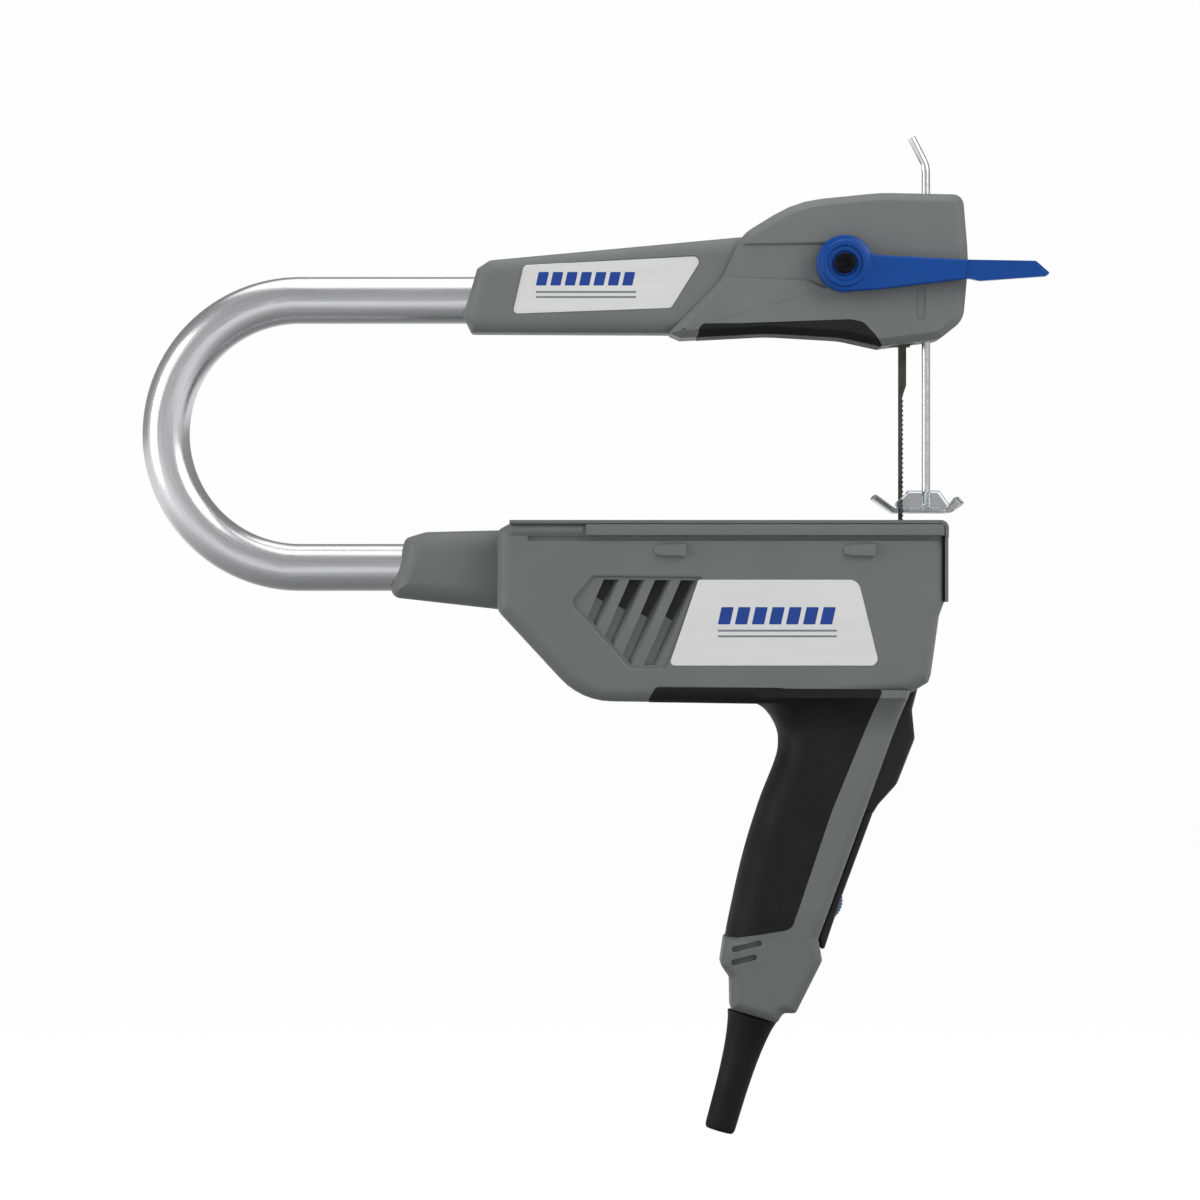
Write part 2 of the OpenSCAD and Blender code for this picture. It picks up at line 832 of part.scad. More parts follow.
// Scotch yoke: slotted plate between two bosses that slide on the guide rods, with
// a nose that reaches the blade
module yoke() {
    slot_h = 2 * roller_r + 0.3;
    slot_half = crank_r + roller_r + 0.5;
    mid_x = (yoke_x0 + yoke_x1) / 2;
    color(alloy)
        difference() {
            union() {
                block([yoke_x0, -rod_y, gear_z - slot_h / 2 - 2.4], [yoke_x1, rod_y, gear_z + slot_h / 2 + 2.4]);
                for (side = [-1, 1])
                    rod_z(gear_z - 5, gear_z + 5, 3.4, x = mid_x, y = side * rod_y);
                block([yoke_x0, -5, gear_z + slot_h / 2], [yoke_x1, 5, -30]);
                block([yoke_x1 - 1, -3, -35.4], [-3, 3, -30]);
            }
            block([yoke_x0 - 1, -slot_half, gear_z - slot_h / 2], [yoke_x1 + 1, slot_half, gear_z + slot_h / 2]);
            for (side = [-1, 1])
                rod_z(-70, 0, rod_r + running, x = mid_x, y = side * rod_y);
        }
}

// ---------------------------------------------------------------- blade
// Block with a slit for the blade and a hook seat for its pin. `z` is the blade's
// end, and `up` is 1 where the blade hangs from the block
module blade_holder(z, up) {
    pin_z = z - up * pin_inset;
    difference() {
        translate([0, 0, z - up * (holder_h / 2 - 3.6)])
            cube([6, 8, holder_h], center = true);
        translate([0, 0, z - up * (10 - 0.6)])
            cube([8, blade_t + 0.4, 20], center = true);
        rod_y(-3.2, 3.2, 1.05, 0, pin_z);
        translate([2, 0, pin_z])
            cube([4, 6.4, 2.1], center = true);
    }
}

module lower_blade_holder() {
    color(dark_steel)
        blade_holder(blade_bottom_z, -1);
}

module upper_blade_holder() {
    color(dark_steel)
        blade_holder(blade_top_z, 1);
}

module saw_blade() {
    back_x = -1.1;
    shank_x = 1.8;
    root_x = back_x + tooth_w - 0.5;
    z0 = blade_bottom_z + shank_len * 0.6;
    teeth = floor((blade_top_z - shank_len - z0) / tooth_pitch);
    toothed = [for (i = [0 : teeth - 1]) each [
        [root_x + 0.5, z0 + i * tooth_pitch], [root_x, z0 + (i + 0.35) * tooth_pitch]]];
    outline = concat([[back_x, blade_bottom_z], [shank_x, blade_bottom_z], [shank_x, z0 - 2]], toothed,
                     [[root_x + 0.5, blade_top_z - shank_len], [shank_x, blade_top_z - shank_len + 3],
                      [shank_x, blade_top_z], [back_x, blade_top_z]]);
    color(dark_steel)
        difference() {
            plate(outline, -blade_t / 2, blade_t / 2);
            for (z = [blade_bottom_z + pin_inset, blade_top_z - pin_inset])
                rod_y(-1, 1, 1, 0, z);
        }
}

module blade_pins() {
    color(steel)
        for (z = [blade_bottom_z + pin_inset, blade_top_z - pin_inset])
            rod_y(-3, 3, 1, 0, z);
}

// ---------------------------------------------------------------- tension head
module upper_plunger() {
    color(steel)
        rod_z(blade_top_z + 3.6, plunger_top_z, plunger_r);
}

module spring_collar() {
    color(brass)
        difference() {
            rod_z(collar_z0, collar_z1, 4.4);
            rod_z(collar_z0 - 1, collar_z1 + 1, plunger_r);
        }
}

// Round-wire coil spring standing between two heights
module coil_spring(z0, z1, coil_r, wire, turns, steps, sides) {
    rise = z1 - z0 - 2 * wire - 0.1;
    n = turns * steps;
    points = [for (i = [0 : n], k = [0 : sides - 1])
        let (a = i * 360 / steps, b = k * 360 / sides, r = coil_r + wire * cos(b))
        [r * cos(a), r * sin(a), z0 + wire + 0.05 + rise * i / n + wire * sin(b)]];
    faces = concat(
        [[for (k = [0 : sides - 1]) k]],
        [for (i = [0 : n - 1], k = [0 : sides - 1])
            [i * sides + k, (i + 1) * sides + k, (i + 1) * sides + (k + 1) % sides, i * sides + (k + 1) % sides]],
        [[for (k = [sides - 1 : -1 : 0]) n * sides + k]]);
    polyhedron(points, faces, convexity = 8);
}

// Compression spring from the carriage's seat to the plunger's collar
module tension_spring() {
    color(steel)
        coil_spring(seat_z1, collar_z0, 3.8, 0.55, 6, 14, 6);
}

// Light spring on the guide rod that carries the carriage's weight
module lift_spring() {
    color(steel)
        translate([carriage_rod_x, 0, 0])
            coil_spring(guide_block_z1, follower_z, 2.1, 0.25, 7, 12, 6);
}

// Spring seat round the plunger, joined by a post to the flat that rides on the cam
module tension_carriage() {
    color(alloy)
        difference() {
            union() {
                rod_z(seat_z0, seat_z1, 5);
                block([-7.4, -4, seat_z0], [-2.6, 4, seat_z1]);
                block([-7.4, -4, seat_z0], [-5.4, 4, follower_z + 3]);
                block([-31, -5.5, follower_z], [-5.4, 5.5, follower_z + 3]);
            }
            rod_z(seat_z0 - 1, seat_z1 + 1, plunger_r + running);
            rod_z(follower_z - 1, follower_z + 4, carriage_rod_r + running, x = carriage_rod_x);
        }
}

module tension_guide_rod() {
    color(steel)
        rod_z(guide_block_z0, 110, carriage_rod_r, x = carriage_rod_x);
}

module upper_guide_block() {
    color(alloy)
        difference() {
            block([-14, -head_w / 2 + wall, guide_block_z0], [5.4, head_w / 2 - wall, guide_block_z1]);
            rod_z(guide_block_z0 - 1, guide_block_z1 + 1, plunger_r + running);
            rod_z(guide_block_z0 - 1, guide_block_z1 + 1, carriage_rod_r, x = carriage_rod_x);
        }
}

// Cam whose height under a flat follower grows evenly with the lever's angle
function cam_height(phi) = cam_base_h + cam_rate * phi * PI / 180;
function cam_point(phi) = cam_height(phi) * [sin(phi), cos(phi)] + cam_rate * [cos(phi), -sin(phi)];

module cam_shaft() {
    steps = 24;
    lobe = [for (i = [0 : steps]) cam_point(i * 180 / steps)];
    back = [for (i = [1 : 9])
        let (a = 270 - i * 18, r = cam_base_h + tension_lift - 3.6 * i / 10)
        r * [cos(a), sin(a)]];
    color(steel)
        union() {
            rod_y(lever_y0 - lever_t, head_w / 2 - wall - gap, 3, pivot_x, pivot_z);
            translate([pivot_x, 0, pivot_z])
                plate(concat(lobe, back), -cam_w / 2, cam_w / 2);
        }
}

module tension_lever() {
    hub_h = lever_t + 1.3;
    tip = lever_len;
    tail = [[1, -hub_r, 0], [12, -9.2, 20], [tip - 28.6, -5.4, 1], [tip - 25, -6.1, 2], [tip - 1.6, -4.5, 0.6],
            [tip, -3.3, 0.5], [tip - 5.3, 0.9, 0.6], [tip - 28.6, 1.3, 60], [9, 3.1, 3], [4, 6, 0], [1, 0, 0]];
    color(lever_blue)
        difference() {
            union() {
                rod_y(lever_y0 - hub_h, lever_y0, hub_r, pivot_x, pivot_z);
                translate([pivot_x, 0, pivot_z])
                    plate(rounded(tail), lever_y0 - lever_t, lever_y0 - 0.4);
            }
            rod_y(lever_y0 - 30, lever_y0 + 1, 3, pivot_x, pivot_z);
            rod_y(lever_y0 - hub_h - 1, lever_y0 - lever_t, 4.2, pivot_x, pivot_z);
        }
}

module lever_screw() {
    y0 = lever_y0 - lever_t;
    color([0.1, 0.1, 0.11])
        difference() {
            rod_y(y0 - 2.6, y0, 3.7, pivot_x, pivot_z);
            translate([pivot_x, y0 - 1.4, pivot_z])
                rotate([90, 0, 0])
                    cylinder(h = 3, r = 2.3, $fn = 6);
        }
}

// ---------------------------------------------------------------- arm
module arm_pad_solid(y0, y1) {
    intersection() {
        plate(rounded(arm_pad_outline), y0, y1);
        plate(rounded(head_outline), y0, y1);
    }
}

module arm_housing(side) {
    difference() {
        union() {
            difference() {
                union() {
                    soft_half(arm_outline, arm_w, side);
                    soft_half(head_outline, head_w, side);
                }
                plate(rounded(inset(head_outline, wall)), -side, side * (head_w / 2 - wall));
                plate([[-118, 69.4], [-60, 69.4], [-60, 97.6], [-118, 92.8]], -side, side * (arm_w / 2 - wall));
            }
            for (s = arm_screw_spots)
                screw_boss(s[0], s[1], arm_width(s[0]), side);
            // Boss for the cam shaft
            if (side == right)
                rod_y(-head_w / 2 + 1, -cam_w / 2 - 1, 6, pivot_x, pivot_z);
            else
                rod_y(cam_w / 2 + 1, head_w / 2 - 1, 6, pivot_x, pivot_z);
        }
        rod_x(-170, tube_top_end_x, tube_r, z = tube_top_z);
        for (s = arm_screw_spots)
            screw_hole(s[0], s[1], arm_width(s[0]), side);
        rod_y(-30, head_w / 2 - wall, 3 + running, pivot_x, pivot_z);
        arm_pad_solid(-head_w, head_w);
        badge(upper_badge, arm_w, side);
        // Opening under the blade holder and the passage of the foot's rod
        block([-4.5, -5.5, 55], [4.6, 5.5, 68]);
        rod_z(50, 130, foot_rod_d / 2 + 0.6, x = foot_x);
        if (side == left)
            for (s = [tube_screw_spots[0]])
                rod_y(0, 30, 2.25, s[0], s[1]);
    }
}

module arm_housing_right() {
    color(shell_grey)
        arm_housing(right);
}

module arm_housing_left() {
    color(shell_grey)
        arm_housing(left);
}

module arm_grip_pad() {
    color(grip_black)
        difference() {
            arm_pad_solid(-head_w / 2 + 0.6, head_w / 2 - 0.6);
            block([-4.5, -5.5, 55], [4.6, 5.5, 68]);
        }
}

module badge_upper_right() {
    color(label_silver)
        badge(upper_badge, arm_w, right);
}

module badge_upper_left() {
    color(label_silver)
        badge(upper_badge, arm_w, left);
}

module arm_screws() {
    color(dark_steel)
        for (s = arm_screw_spots)
            shell_screw(s[0], s[1], arm_width(s[0]));
}

// ---------------------------------------------------------------- foot
module foot_rod_guide() {
    color(grip_black)
        difference() {
            union() {
                block([foot_x - 3, -5, 86], [foot_x + 6, 5, 104]);
                block([foot_x - 3, -head_w / 2 + wall, 86], [foot_x + 6, head_w / 2 - wall, 90]);
            }
            rod_z(80, 110, foot_rod_d / 2 + running, x = foot_x);
            block([foot_x + 0.5, -2.2, 92], [foot_x + 7, 2.2, 100]);
        }
}

// Leaf that presses on the rod and keeps it where it is put
module foot_friction_spring() {
    x0 = foot_x + foot_rod_d / 2 + 0.06;
    color(steel)
        plate([[x0 + 0.9, 92.2], [x0 + 1.5, 92.2], [x0 + 0.6, 96], [x0 + 1.5, 99.8], [x0 + 0.9, 99.8],
               [x0, 96]], -2, 2);
}

module foot_rod() {
    lean = atan2(-foot_tip[0], foot_tip[1]);
    length = norm(foot_tip);
    color(steel)
        union() {
            rod_z(foot_gap + 2.4, foot_top_z, foot_rod_d / 2, x = foot_x);
            translate([foot_x, 0, foot_top_z]) {
                sphere(r = foot_rod_d / 2 + running);
                rotate([0, -lean, 0])
                    cylinder(h = length, r = foot_rod_d / 2);
            }
        }
}

// Clear foot: a thin plate with turned-up ends, forked round the blade, and the
// block that holds the rod
module material_foot() {
    z = foot_gap;
    profile = [[-3.4, z, 3], [17.3, z, 2.5], [22.1, z + 3.4, 0.5], [19.5, z + 6, 0.5], [16.4, z + 2, 1.5],
               [-2.6, z + 1.8, 2], [-9.6, z + 6.7, 0.5], [-10.8, z + 5, 0.5]];
    boss = [[-1, z + 0.2, 0], [17, z + 0.2, 0], [17.1, z + 3, 1], [13.4, z + 8, 1], [2.2, z + 8, 1],
            [-2.2, z + 3.4, 1]];
    color(clear_tint)
        difference() {
            union() {
                plate(rounded(profile), -11, 11);
                plate(rounded(boss), -4.5, 4.5);
            }
            block([-20, -1.8, -1], [2.6, 1.8, 20]);
            rod_z(z + 2.4, 20, foot_rod_d / 2, x = foot_x);
        }
}

// ---------------------------------------------------------------- switch and dial
module paddle() {
    outline = [[-4.6, -60.2, 1], [-17.4, -98.6, 2], [-13.6, -104.4, 1.5], [-10.2, -104.2, 1], [-8.4, -101.2, 3],
               [-1.7, -93.8, 6], [4.7, -77.6, 3], [3.7, -67.4, 4], [5.8, -59.4, 0.6], [0.4, -59, 1]];
    color(grip_black)
        difference() {
            plate(rounded(outline), -paddle_w / 2, paddle_w / 2);
            rod_y(-20, 20, 1.5 + running, paddle_pivot[0], paddle_pivot[1]);
        }
}

module paddle_pin() {
    color(steel)
        rod_y(-9.5, 9.5, 1.5, paddle_pivot[0], paddle_pivot[1]);
}

module switch_block() {
    color([0.15, 0.15, 0.16])
        translate([-25.4, 0, -85])
            rotate([0, 20, 0])
                difference() {
                    cube([14, 13, 26], center = true);
                    for (z = [-8, 0, 8])
                        translate([-7, 0, z])
                            cube([4, 8, 3], center = true);
                }
}

module speed_board() {
    color([0.10, 0.32, 0.18])
        union() {
            translate([-41.6, 0, -126.5])
                rotate([0, 18, 0])
                    cube([1.6, 18, 22], center = true);
            rod_y(4, 9, pot_r, dial_centre[0], dial_centre[1]);
            rod_y(-3.4, 9, 1.5, dial_centre[0], dial_centre[1]);
            block([-45.5, 4.5, -137], [dial_centre[0], 8.5, -133.8]);
        }
}

module speed_dial() {
    ridges = 24;
    color([0.27, 0.29, 0.33])
        difference() {
            rod_y(-2.8, 2.8, dial_r, dial_centre[0], dial_centre[1]);
            rod_y(-5, 5, 1.5 + running, dial_centre[0], dial_centre[1]);
            for (i = [0 : ridges - 1])
                translate([dial_centre[0], 0, dial_centre[1]])
                    rotate([0, i * 360 / ridges, 0])
                        translate([dial_r, 0, 0])
                            cube([0.7, 8, 0.7], center = true);
        }
}

// ---------------------------------------------------------------- parts
motor_housing_right();
motor_housing_left();
grip_pad_right();
grip_pad_left();
table_plate();
badge_lower_right();
badge_lower_left();
housing_screws();
front_strip();
cord_boot();
cord_clamp();
frame_tube();
tube_screws();
stator_core();
field_coils();
brush_holders();
carbon_brushes();
rear_bearing();
front_bearing();
gear_bracket();
gear_pin();
guide_rods();
switch_block();
speed_board();
paddle_pin();
armature_shaft();
armature_core();
armature_windings();
commutator();
cooling_fan();
pinion();
crank_gear();
crank_roller();
yoke();
lower_blade_holder();
saw_blade();
blade_pins();
upper_blade_holder();
upper_plunger();
spring_collar();
tension_spring();
lift_spring();
tension_carriage();
tension_guide_rod();
tension_lever();
cam_shaft();
lever_screw();
arm_housing_right();
arm_housing_left();
arm_grip_pad();
badge_upper_right();
badge_upper_left();
arm_screws();
upper_guide_block();
foot_rod_guide();
foot_friction_spring();
foot_rod();
material_foot();
paddle();
speed_dial();
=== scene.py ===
"""Looks of a corded coping saw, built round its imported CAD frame.

Outlines are in millimetres in the frame's side view, as (x, z, corner radius), counter-clockwise.
Solids are lofted across the tool from such outlines, joined and carved, then ride on their bodies.
"""
import json
import math

import bmesh
import bpy
from mathutils import Matrix, Vector


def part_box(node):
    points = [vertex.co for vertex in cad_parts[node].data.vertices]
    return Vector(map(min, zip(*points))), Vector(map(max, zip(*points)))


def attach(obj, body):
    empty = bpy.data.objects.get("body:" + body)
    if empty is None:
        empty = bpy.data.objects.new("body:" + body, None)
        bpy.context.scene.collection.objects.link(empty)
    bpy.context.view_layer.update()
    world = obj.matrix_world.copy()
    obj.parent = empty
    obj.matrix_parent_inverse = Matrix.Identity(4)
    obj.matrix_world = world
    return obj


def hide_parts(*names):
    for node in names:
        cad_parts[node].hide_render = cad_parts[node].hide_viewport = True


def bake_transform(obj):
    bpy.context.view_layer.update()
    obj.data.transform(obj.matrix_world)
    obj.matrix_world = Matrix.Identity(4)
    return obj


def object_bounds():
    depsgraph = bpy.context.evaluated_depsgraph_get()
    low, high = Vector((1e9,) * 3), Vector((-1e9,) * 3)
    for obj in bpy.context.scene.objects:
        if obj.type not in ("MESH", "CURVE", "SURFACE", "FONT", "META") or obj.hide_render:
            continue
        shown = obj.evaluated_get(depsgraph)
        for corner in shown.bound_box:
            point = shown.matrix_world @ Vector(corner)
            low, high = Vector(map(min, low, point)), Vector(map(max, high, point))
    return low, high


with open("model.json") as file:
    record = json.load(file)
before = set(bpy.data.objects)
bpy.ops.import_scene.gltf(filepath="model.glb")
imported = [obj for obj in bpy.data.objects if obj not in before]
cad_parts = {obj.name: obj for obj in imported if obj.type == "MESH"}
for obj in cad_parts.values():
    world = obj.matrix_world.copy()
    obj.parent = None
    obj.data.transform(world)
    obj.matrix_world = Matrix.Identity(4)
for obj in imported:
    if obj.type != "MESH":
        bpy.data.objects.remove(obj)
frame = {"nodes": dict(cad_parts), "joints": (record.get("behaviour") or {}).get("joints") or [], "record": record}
cad_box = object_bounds()

MM = 0.001
RIGHT, LEFT = -1, 1
SIDE_NAMES = {RIGHT: "right", LEFT: "left"}
ARC_STEP = math.radians(9)
BEVEL_ANGLE, SMOOTH_ANGLE = math.radians(34), math.radians(38)
SEAM = 0.3


def show(obj):
    """Puts an object in the scene."""
    bpy.context.scene.collection.objects.link(obj)


def box_mm(node):
    """Lowest and highest corner of a CAD node, in millimetres."""
    low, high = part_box(node)
    return low / MM, high / MM


# -------------------- outlines
def arcs(corners, inset=0.0):
    """Points of an outline moved inwards by inset. Their number doesn't depend on inset."""
    points = []
    count = len(corners)
    for i, (x, z, radius) in enumerate(corners):
        here = Vector((x, z))
        before = (here - Vector(corners[i - 1][:2])).normalized()
        after = (Vector(corners[(i + 1) % count][:2]) - here).normalized()
        n0, n1 = Vector((-before.y, before.x)), Vector((-after.y, after.x))
        turn = before.x * after.y - before.y * after.x
        side = 1 if turn > 0 else -1
        tip = here + (n0 + n1) * (inset / (1 + n0.dot(n1)))
        if radius == 0:
            points.append(tip)
            continue
        sweep = math.acos(max(-1.0, min(1.0, before.dot(after))))
        steps = max(2, math.ceil(sweep / ARC_STEP))
        r = max(radius - side * inset, 0.0)
        centre = tip - before * (r * math.tan(sweep / 2)) + n0 * (side * r)
        spoke = -n0 * (side * r)
        for k in range(steps + 1):
            a = side * sweep * k / steps
            turned = Vector((spoke.x * math.cos(a) - spoke.y * math.sin(a),
                             spoke.x * math.sin(a) + spoke.y * math.cos(a)))
            points.append(centre + turned)
    return points


def rectangle(x0, z0, x1, z1, radius):
    return [(x0, z0, radius), (x1, z0, radius), (x1, z1, radius), (x0, z1, radius)]


def slanted(x, z, length, width, lean, radius):
    """Slot whose upper end's middle is at (x, z), leaning to the left by lean degrees as it goes down."""
    down = Vector((-math.sin(math.radians(lean)), -math.cos(math.radians(lean))))
    across = Vector((-down.y, down.x)) * (width / 2)
    top, bottom = Vector((x, z)), Vector((x, z)) + down * length
    return [(*(p), radius) for p in (bottom - across, bottom + across, top + across, top - across)]


def soft_edge(half_width, depth, height, steps=5):
    """Loft profile from the middle plane out to half_width, with an elliptical edge."""
    rings = [(SEAM, 0.0), (0.0, SEAM)]
    for k in range(steps + 1):
        a = math.pi / 2 * k / steps
        rings.append((depth * (1 - math.cos(a)), half_width - height * (1 - math.sin(a))))
    return rings


def facet_edge(half_width, facet):
    """Loft profile with a flat facet along the outer edge, eased at both of its ends."""
    ease = facet * 0.16
    return [(SEAM, 0.0), (0.0, SEAM), (0.0, half_width - facet - ease),
            (ease * 0.35, half_width - facet), (facet - ease, half_width - ease),
            (facet, half_width - ease * 0.35), (facet + ease, half_width)]


def pocket(surface, depth, flare):
    """Loft profile of a cutter for a recess of that depth whose rim is rounded by flare."""
    steps = 3
    rings = [(0.0, surface - depth), (0.0, surface - flare)]
    for k in range(1, steps + 1):
        a = math.pi / 2 * k / steps
        rings.append((-flare * (1 - math.cos(a)), surface - flare + flare * math.sin(a)))
    return rings + [(-flare, surface + 2)]


# -------------------- meshes
def new_object(name, bm):
    bmesh.ops.remove_doubles(bm, verts=bm.verts, dist=0.004 * MM)
    bmesh.ops.recalc_face_normals(bm, faces=bm.faces)
    mesh = bpy.data.meshes.new(name)
    bm.to_mesh(mesh)
    bm.free()
    obj = bpy.data.objects.new(name, mesh)
    show(obj)
    return obj


def bridge(bm, rings, caps=True, closed=False):
    """Faces between neighbouring rings of vertices, and the end faces."""
    pairs = list(zip(rings, rings[1:]))
    if closed:
        pairs.append((rings[-1], rings[0]))
    for a, b in pairs:
        for k in range(len(a)):
            bm.faces.new((a[k - 1], a[k], b[k], b[k - 1]))
    if caps and not closed:
        bm.faces.new(rings[0])
        bm.faces.new(rings[-1])


def loft(name, corners, profile, side=LEFT):
    """Solid through inset copies of an outline. profile lists (inset, distance from the middle plane)."""
    bm = bmesh.new()
    rings = [[bm.verts.new((p.x * MM, side * y * MM, p.y * MM)) for p in arcs(corners, inset)]
             for inset, y in profile]
    bridge(bm, rings)
    return new_object(name, bm)


def plate(name, corners, y0, y1, grow=0.0):
    return loft(name, corners, [(-grow, y0), (-grow, y1)])


def axes_of(axis):
    """Two unit vectors square to an axis."""
    axis = Vector(axis).normalized()
    u = axis.orthogonal().normalized()
    return u, axis.cross(u)


def lathe(name, centre, axis, profile, sides=48):
    """Solid of revolution. profile lists (radius, height along the axis) in mm.

    A zero radius closes an end.
    """
    bm = bmesh.new()
    centre, axis = Vector(centre), Vector(axis).normalized()
    u, v = axes_of(axis)
    rings = []
    for radius, height in profile:
        rings.append([])
        for k in range(sides):
            a = 2 * math.pi * k / sides
            p = centre + axis * height + (u * math.cos(a) + v * math.sin(a)) * max(radius, 1e-5)
            rings[-1].append(bm.verts.new(p * MM))
    hollow = profile[0][0] > 0 and profile[-1][0] > 0
    bridge(bm, rings, caps=not hollow, closed=hollow)
    return new_object(name, bm)


def rod(name, start, end, radius, sides=32):
    """Round bar between two points."""
    start, end = Vector(start), Vector(end)
    length = (end - start).length
    return lathe(name, start, end - start, [(0, 0), (radius, 0), (radius, length), (0, length)], sides)


def sweep(name, path, radius, sides=24, bore=0.0):
    """Tube along a path in the side view, with a UV map: u runs along it and v round it."""
    bm = bmesh.new()
    uv = bm.loops.layers.uv.new("UVMap")
    along, travelled = [0.0], 0.0
    for a, b in zip(path, path[1:]):
        travelled += (b - a).length
        along.append(travelled)

    def rings_at(r):
        rings = []
        for i, p in enumerate(path):
            ahead = (path[min(i + 1, len(path) - 1)] - path[max(i - 1, 0)]).normalized()
            out = Vector((ahead.y, -ahead.x))
            ring = []
            for k in range(sides):
                a = 2 * math.pi * k / sides
                q = p + out * (r * math.cos(a))
                ring.append(bm.verts.new((q.x * MM, r * math.sin(a) * MM, q.y * MM)))
            rings.append(ring)
        return rings

    def skin(rings):
        for i, (a, b) in enumerate(zip(rings, rings[1:])):
            for k in range(sides):
                face = bm.faces.new((a[k - 1], a[k], b[k], b[k - 1]))
                v0, v1 = (k - 1) % sides / sides, ((k - 1) % sides + 1) / sides
                spots = [(along[i], v0), (along[i], v1), (along[i + 1], v1), (along[i + 1], v0)]
                for loop, (u, v) in zip(face.loops, spots):
                    loop[uv].uv = (u * MM * 10, v)

    outer = rings_at(radius)
    skin(outer)
    if bore:
        inner = rings_at(bore)
        skin(inner)
        for a, b in ((outer[0], inner[0]), (outer[-1], inner[-1])):
            for k in range(sides):
                bm.faces.new((a[k - 1], a[k], b[k], b[k - 1]))
    else:
        bm.faces.new(outer[0])
        bm.faces.new(outer[-1])
    return new_object(name, bm)


def hull(name, points):
    """Convex solid round points given in mm."""
    bm = bmesh.new()
    verts = [bm.verts.new(Vector(p) * MM) for p in points]
    made = bmesh.ops.convex_hull(bm, input=verts)
    spare = {e for e in made["geom_interior"] + made["geom_unused"] if isinstance(e, bmesh.types.BMVert)}
    bmesh.ops.delete(bm, geom=list(spare), context="VERTS")
    return new_object(name, bm)


def bake(obj):
    """Applies the object's modifiers to its mesh."""
    bpy.context.view_layer.update()
    graph = bpy.context.evaluated_depsgraph_get()
    mesh = bpy.data.meshes.new_from_object(obj.evaluated_get(graph))
    obj.modifiers.clear()
    old, obj.data = obj.data, mesh
    mesh.name = obj.name
    bpy.data.meshes.remove(old)


def combine(target, others, operation):
    """Boolean of target with each of the others, which are used up."""
    for other in others:
        step = target.modifiers.new("step", "BOOLEAN")
        step.operation = operation
        step.solver = "MANIFOLD"
        step.object = other
        bake(target)
        bpy.data.objects.remove(other)
    return target


def join(target, *others):
    return combine(target, others, "UNION")


def cut(target, *others):
    return combine(target, others, "DIFFERENCE")


def common(target, *others):
    return combine(target, others, "INTERSECT")


def polish(obj, bevel=0.0):
    """Cleans a mesh, eases its sharp edges and shades it smooth between them."""
    bm = bmesh.new()
    bm.from_mesh(obj.data)
    bmesh.ops.remove_doubles(bm, verts=bm.verts, dist=0.02 * MM)
    bmesh.ops.dissolve_degenerate(bm, dist=0.01 * MM, edges=bm.edges)
    bmesh.ops.dissolve_limit(bm, angle_limit=math.radians(0.6), verts=bm.verts, edges=bm.edges)
    bm.to_mesh(obj.data)
    bm.free()
    if bevel:
        ease = obj.modifiers.new("ease", "BEVEL")
        ease.width = bevel * MM
        ease.segments = 2
        ease.limit_method = "ANGLE"
        ease.angle_limit = BEVEL_ANGLE
        bake(obj)
    obj.data.shade_smooth()
    obj.data.set_sharp_from_angle(angle=SMOOTH_ANGLE)
    obj.modifiers.new("flats", "WEIGHTED_NORMAL").keep_sharp = True
    return obj


def grown(profile, by):
    """The profile of the same loft, larger all round."""
    return [(inset - by, y + by if y > 1 else y) for inset, y in profile]


def both(profile):
    """The same loft profile on both sides of the middle plane."""
    outward = [(inset, y) for inset, y in profile if y > 0]
    return [(inset, -y) for inset, y in reversed(outward)] + outward


def mirrored(obj, name):
    """Copy of a left-hand mesh as its right-hand twin."""
    twin = bpy.data.objects.new(name, obj.data.copy())
    show(twin)
    twin.data.transform(Matrix.Diagonal((1, -1, 1, 1)))
    twin.data.flip_normals()
    return twin


def smooth_path(points, steps=8):
    """Catmull-Rom curve through 2D points."""
    points = [Vector(p) for p in points]
    ends = [points[0] * 2 - points[1], *points, points[-1] * 2 - points[-2]]
    path = []
    for a, b, c, d in zip(ends, ends[1:], ends[2:], ends[3:]):
        for k in range(steps):
            t = k / steps
            path.append(0.5 * (2 * b + (c - a) * t + (2 * a - 5 * b + 4 * c - d) * t * t
                               + (3 * b - a - 3 * c + d) * t ** 3))
    return path + [points[-1]]


# -------------------- materials
def linear(rgb):
    """Linear colour of an sRGB one given as 0 to 255."""
    return tuple(c / 12.92 / 255 if c <= 10 else ((c / 255 + 0.055) / 1.055) ** 2.4 for c in rgb)


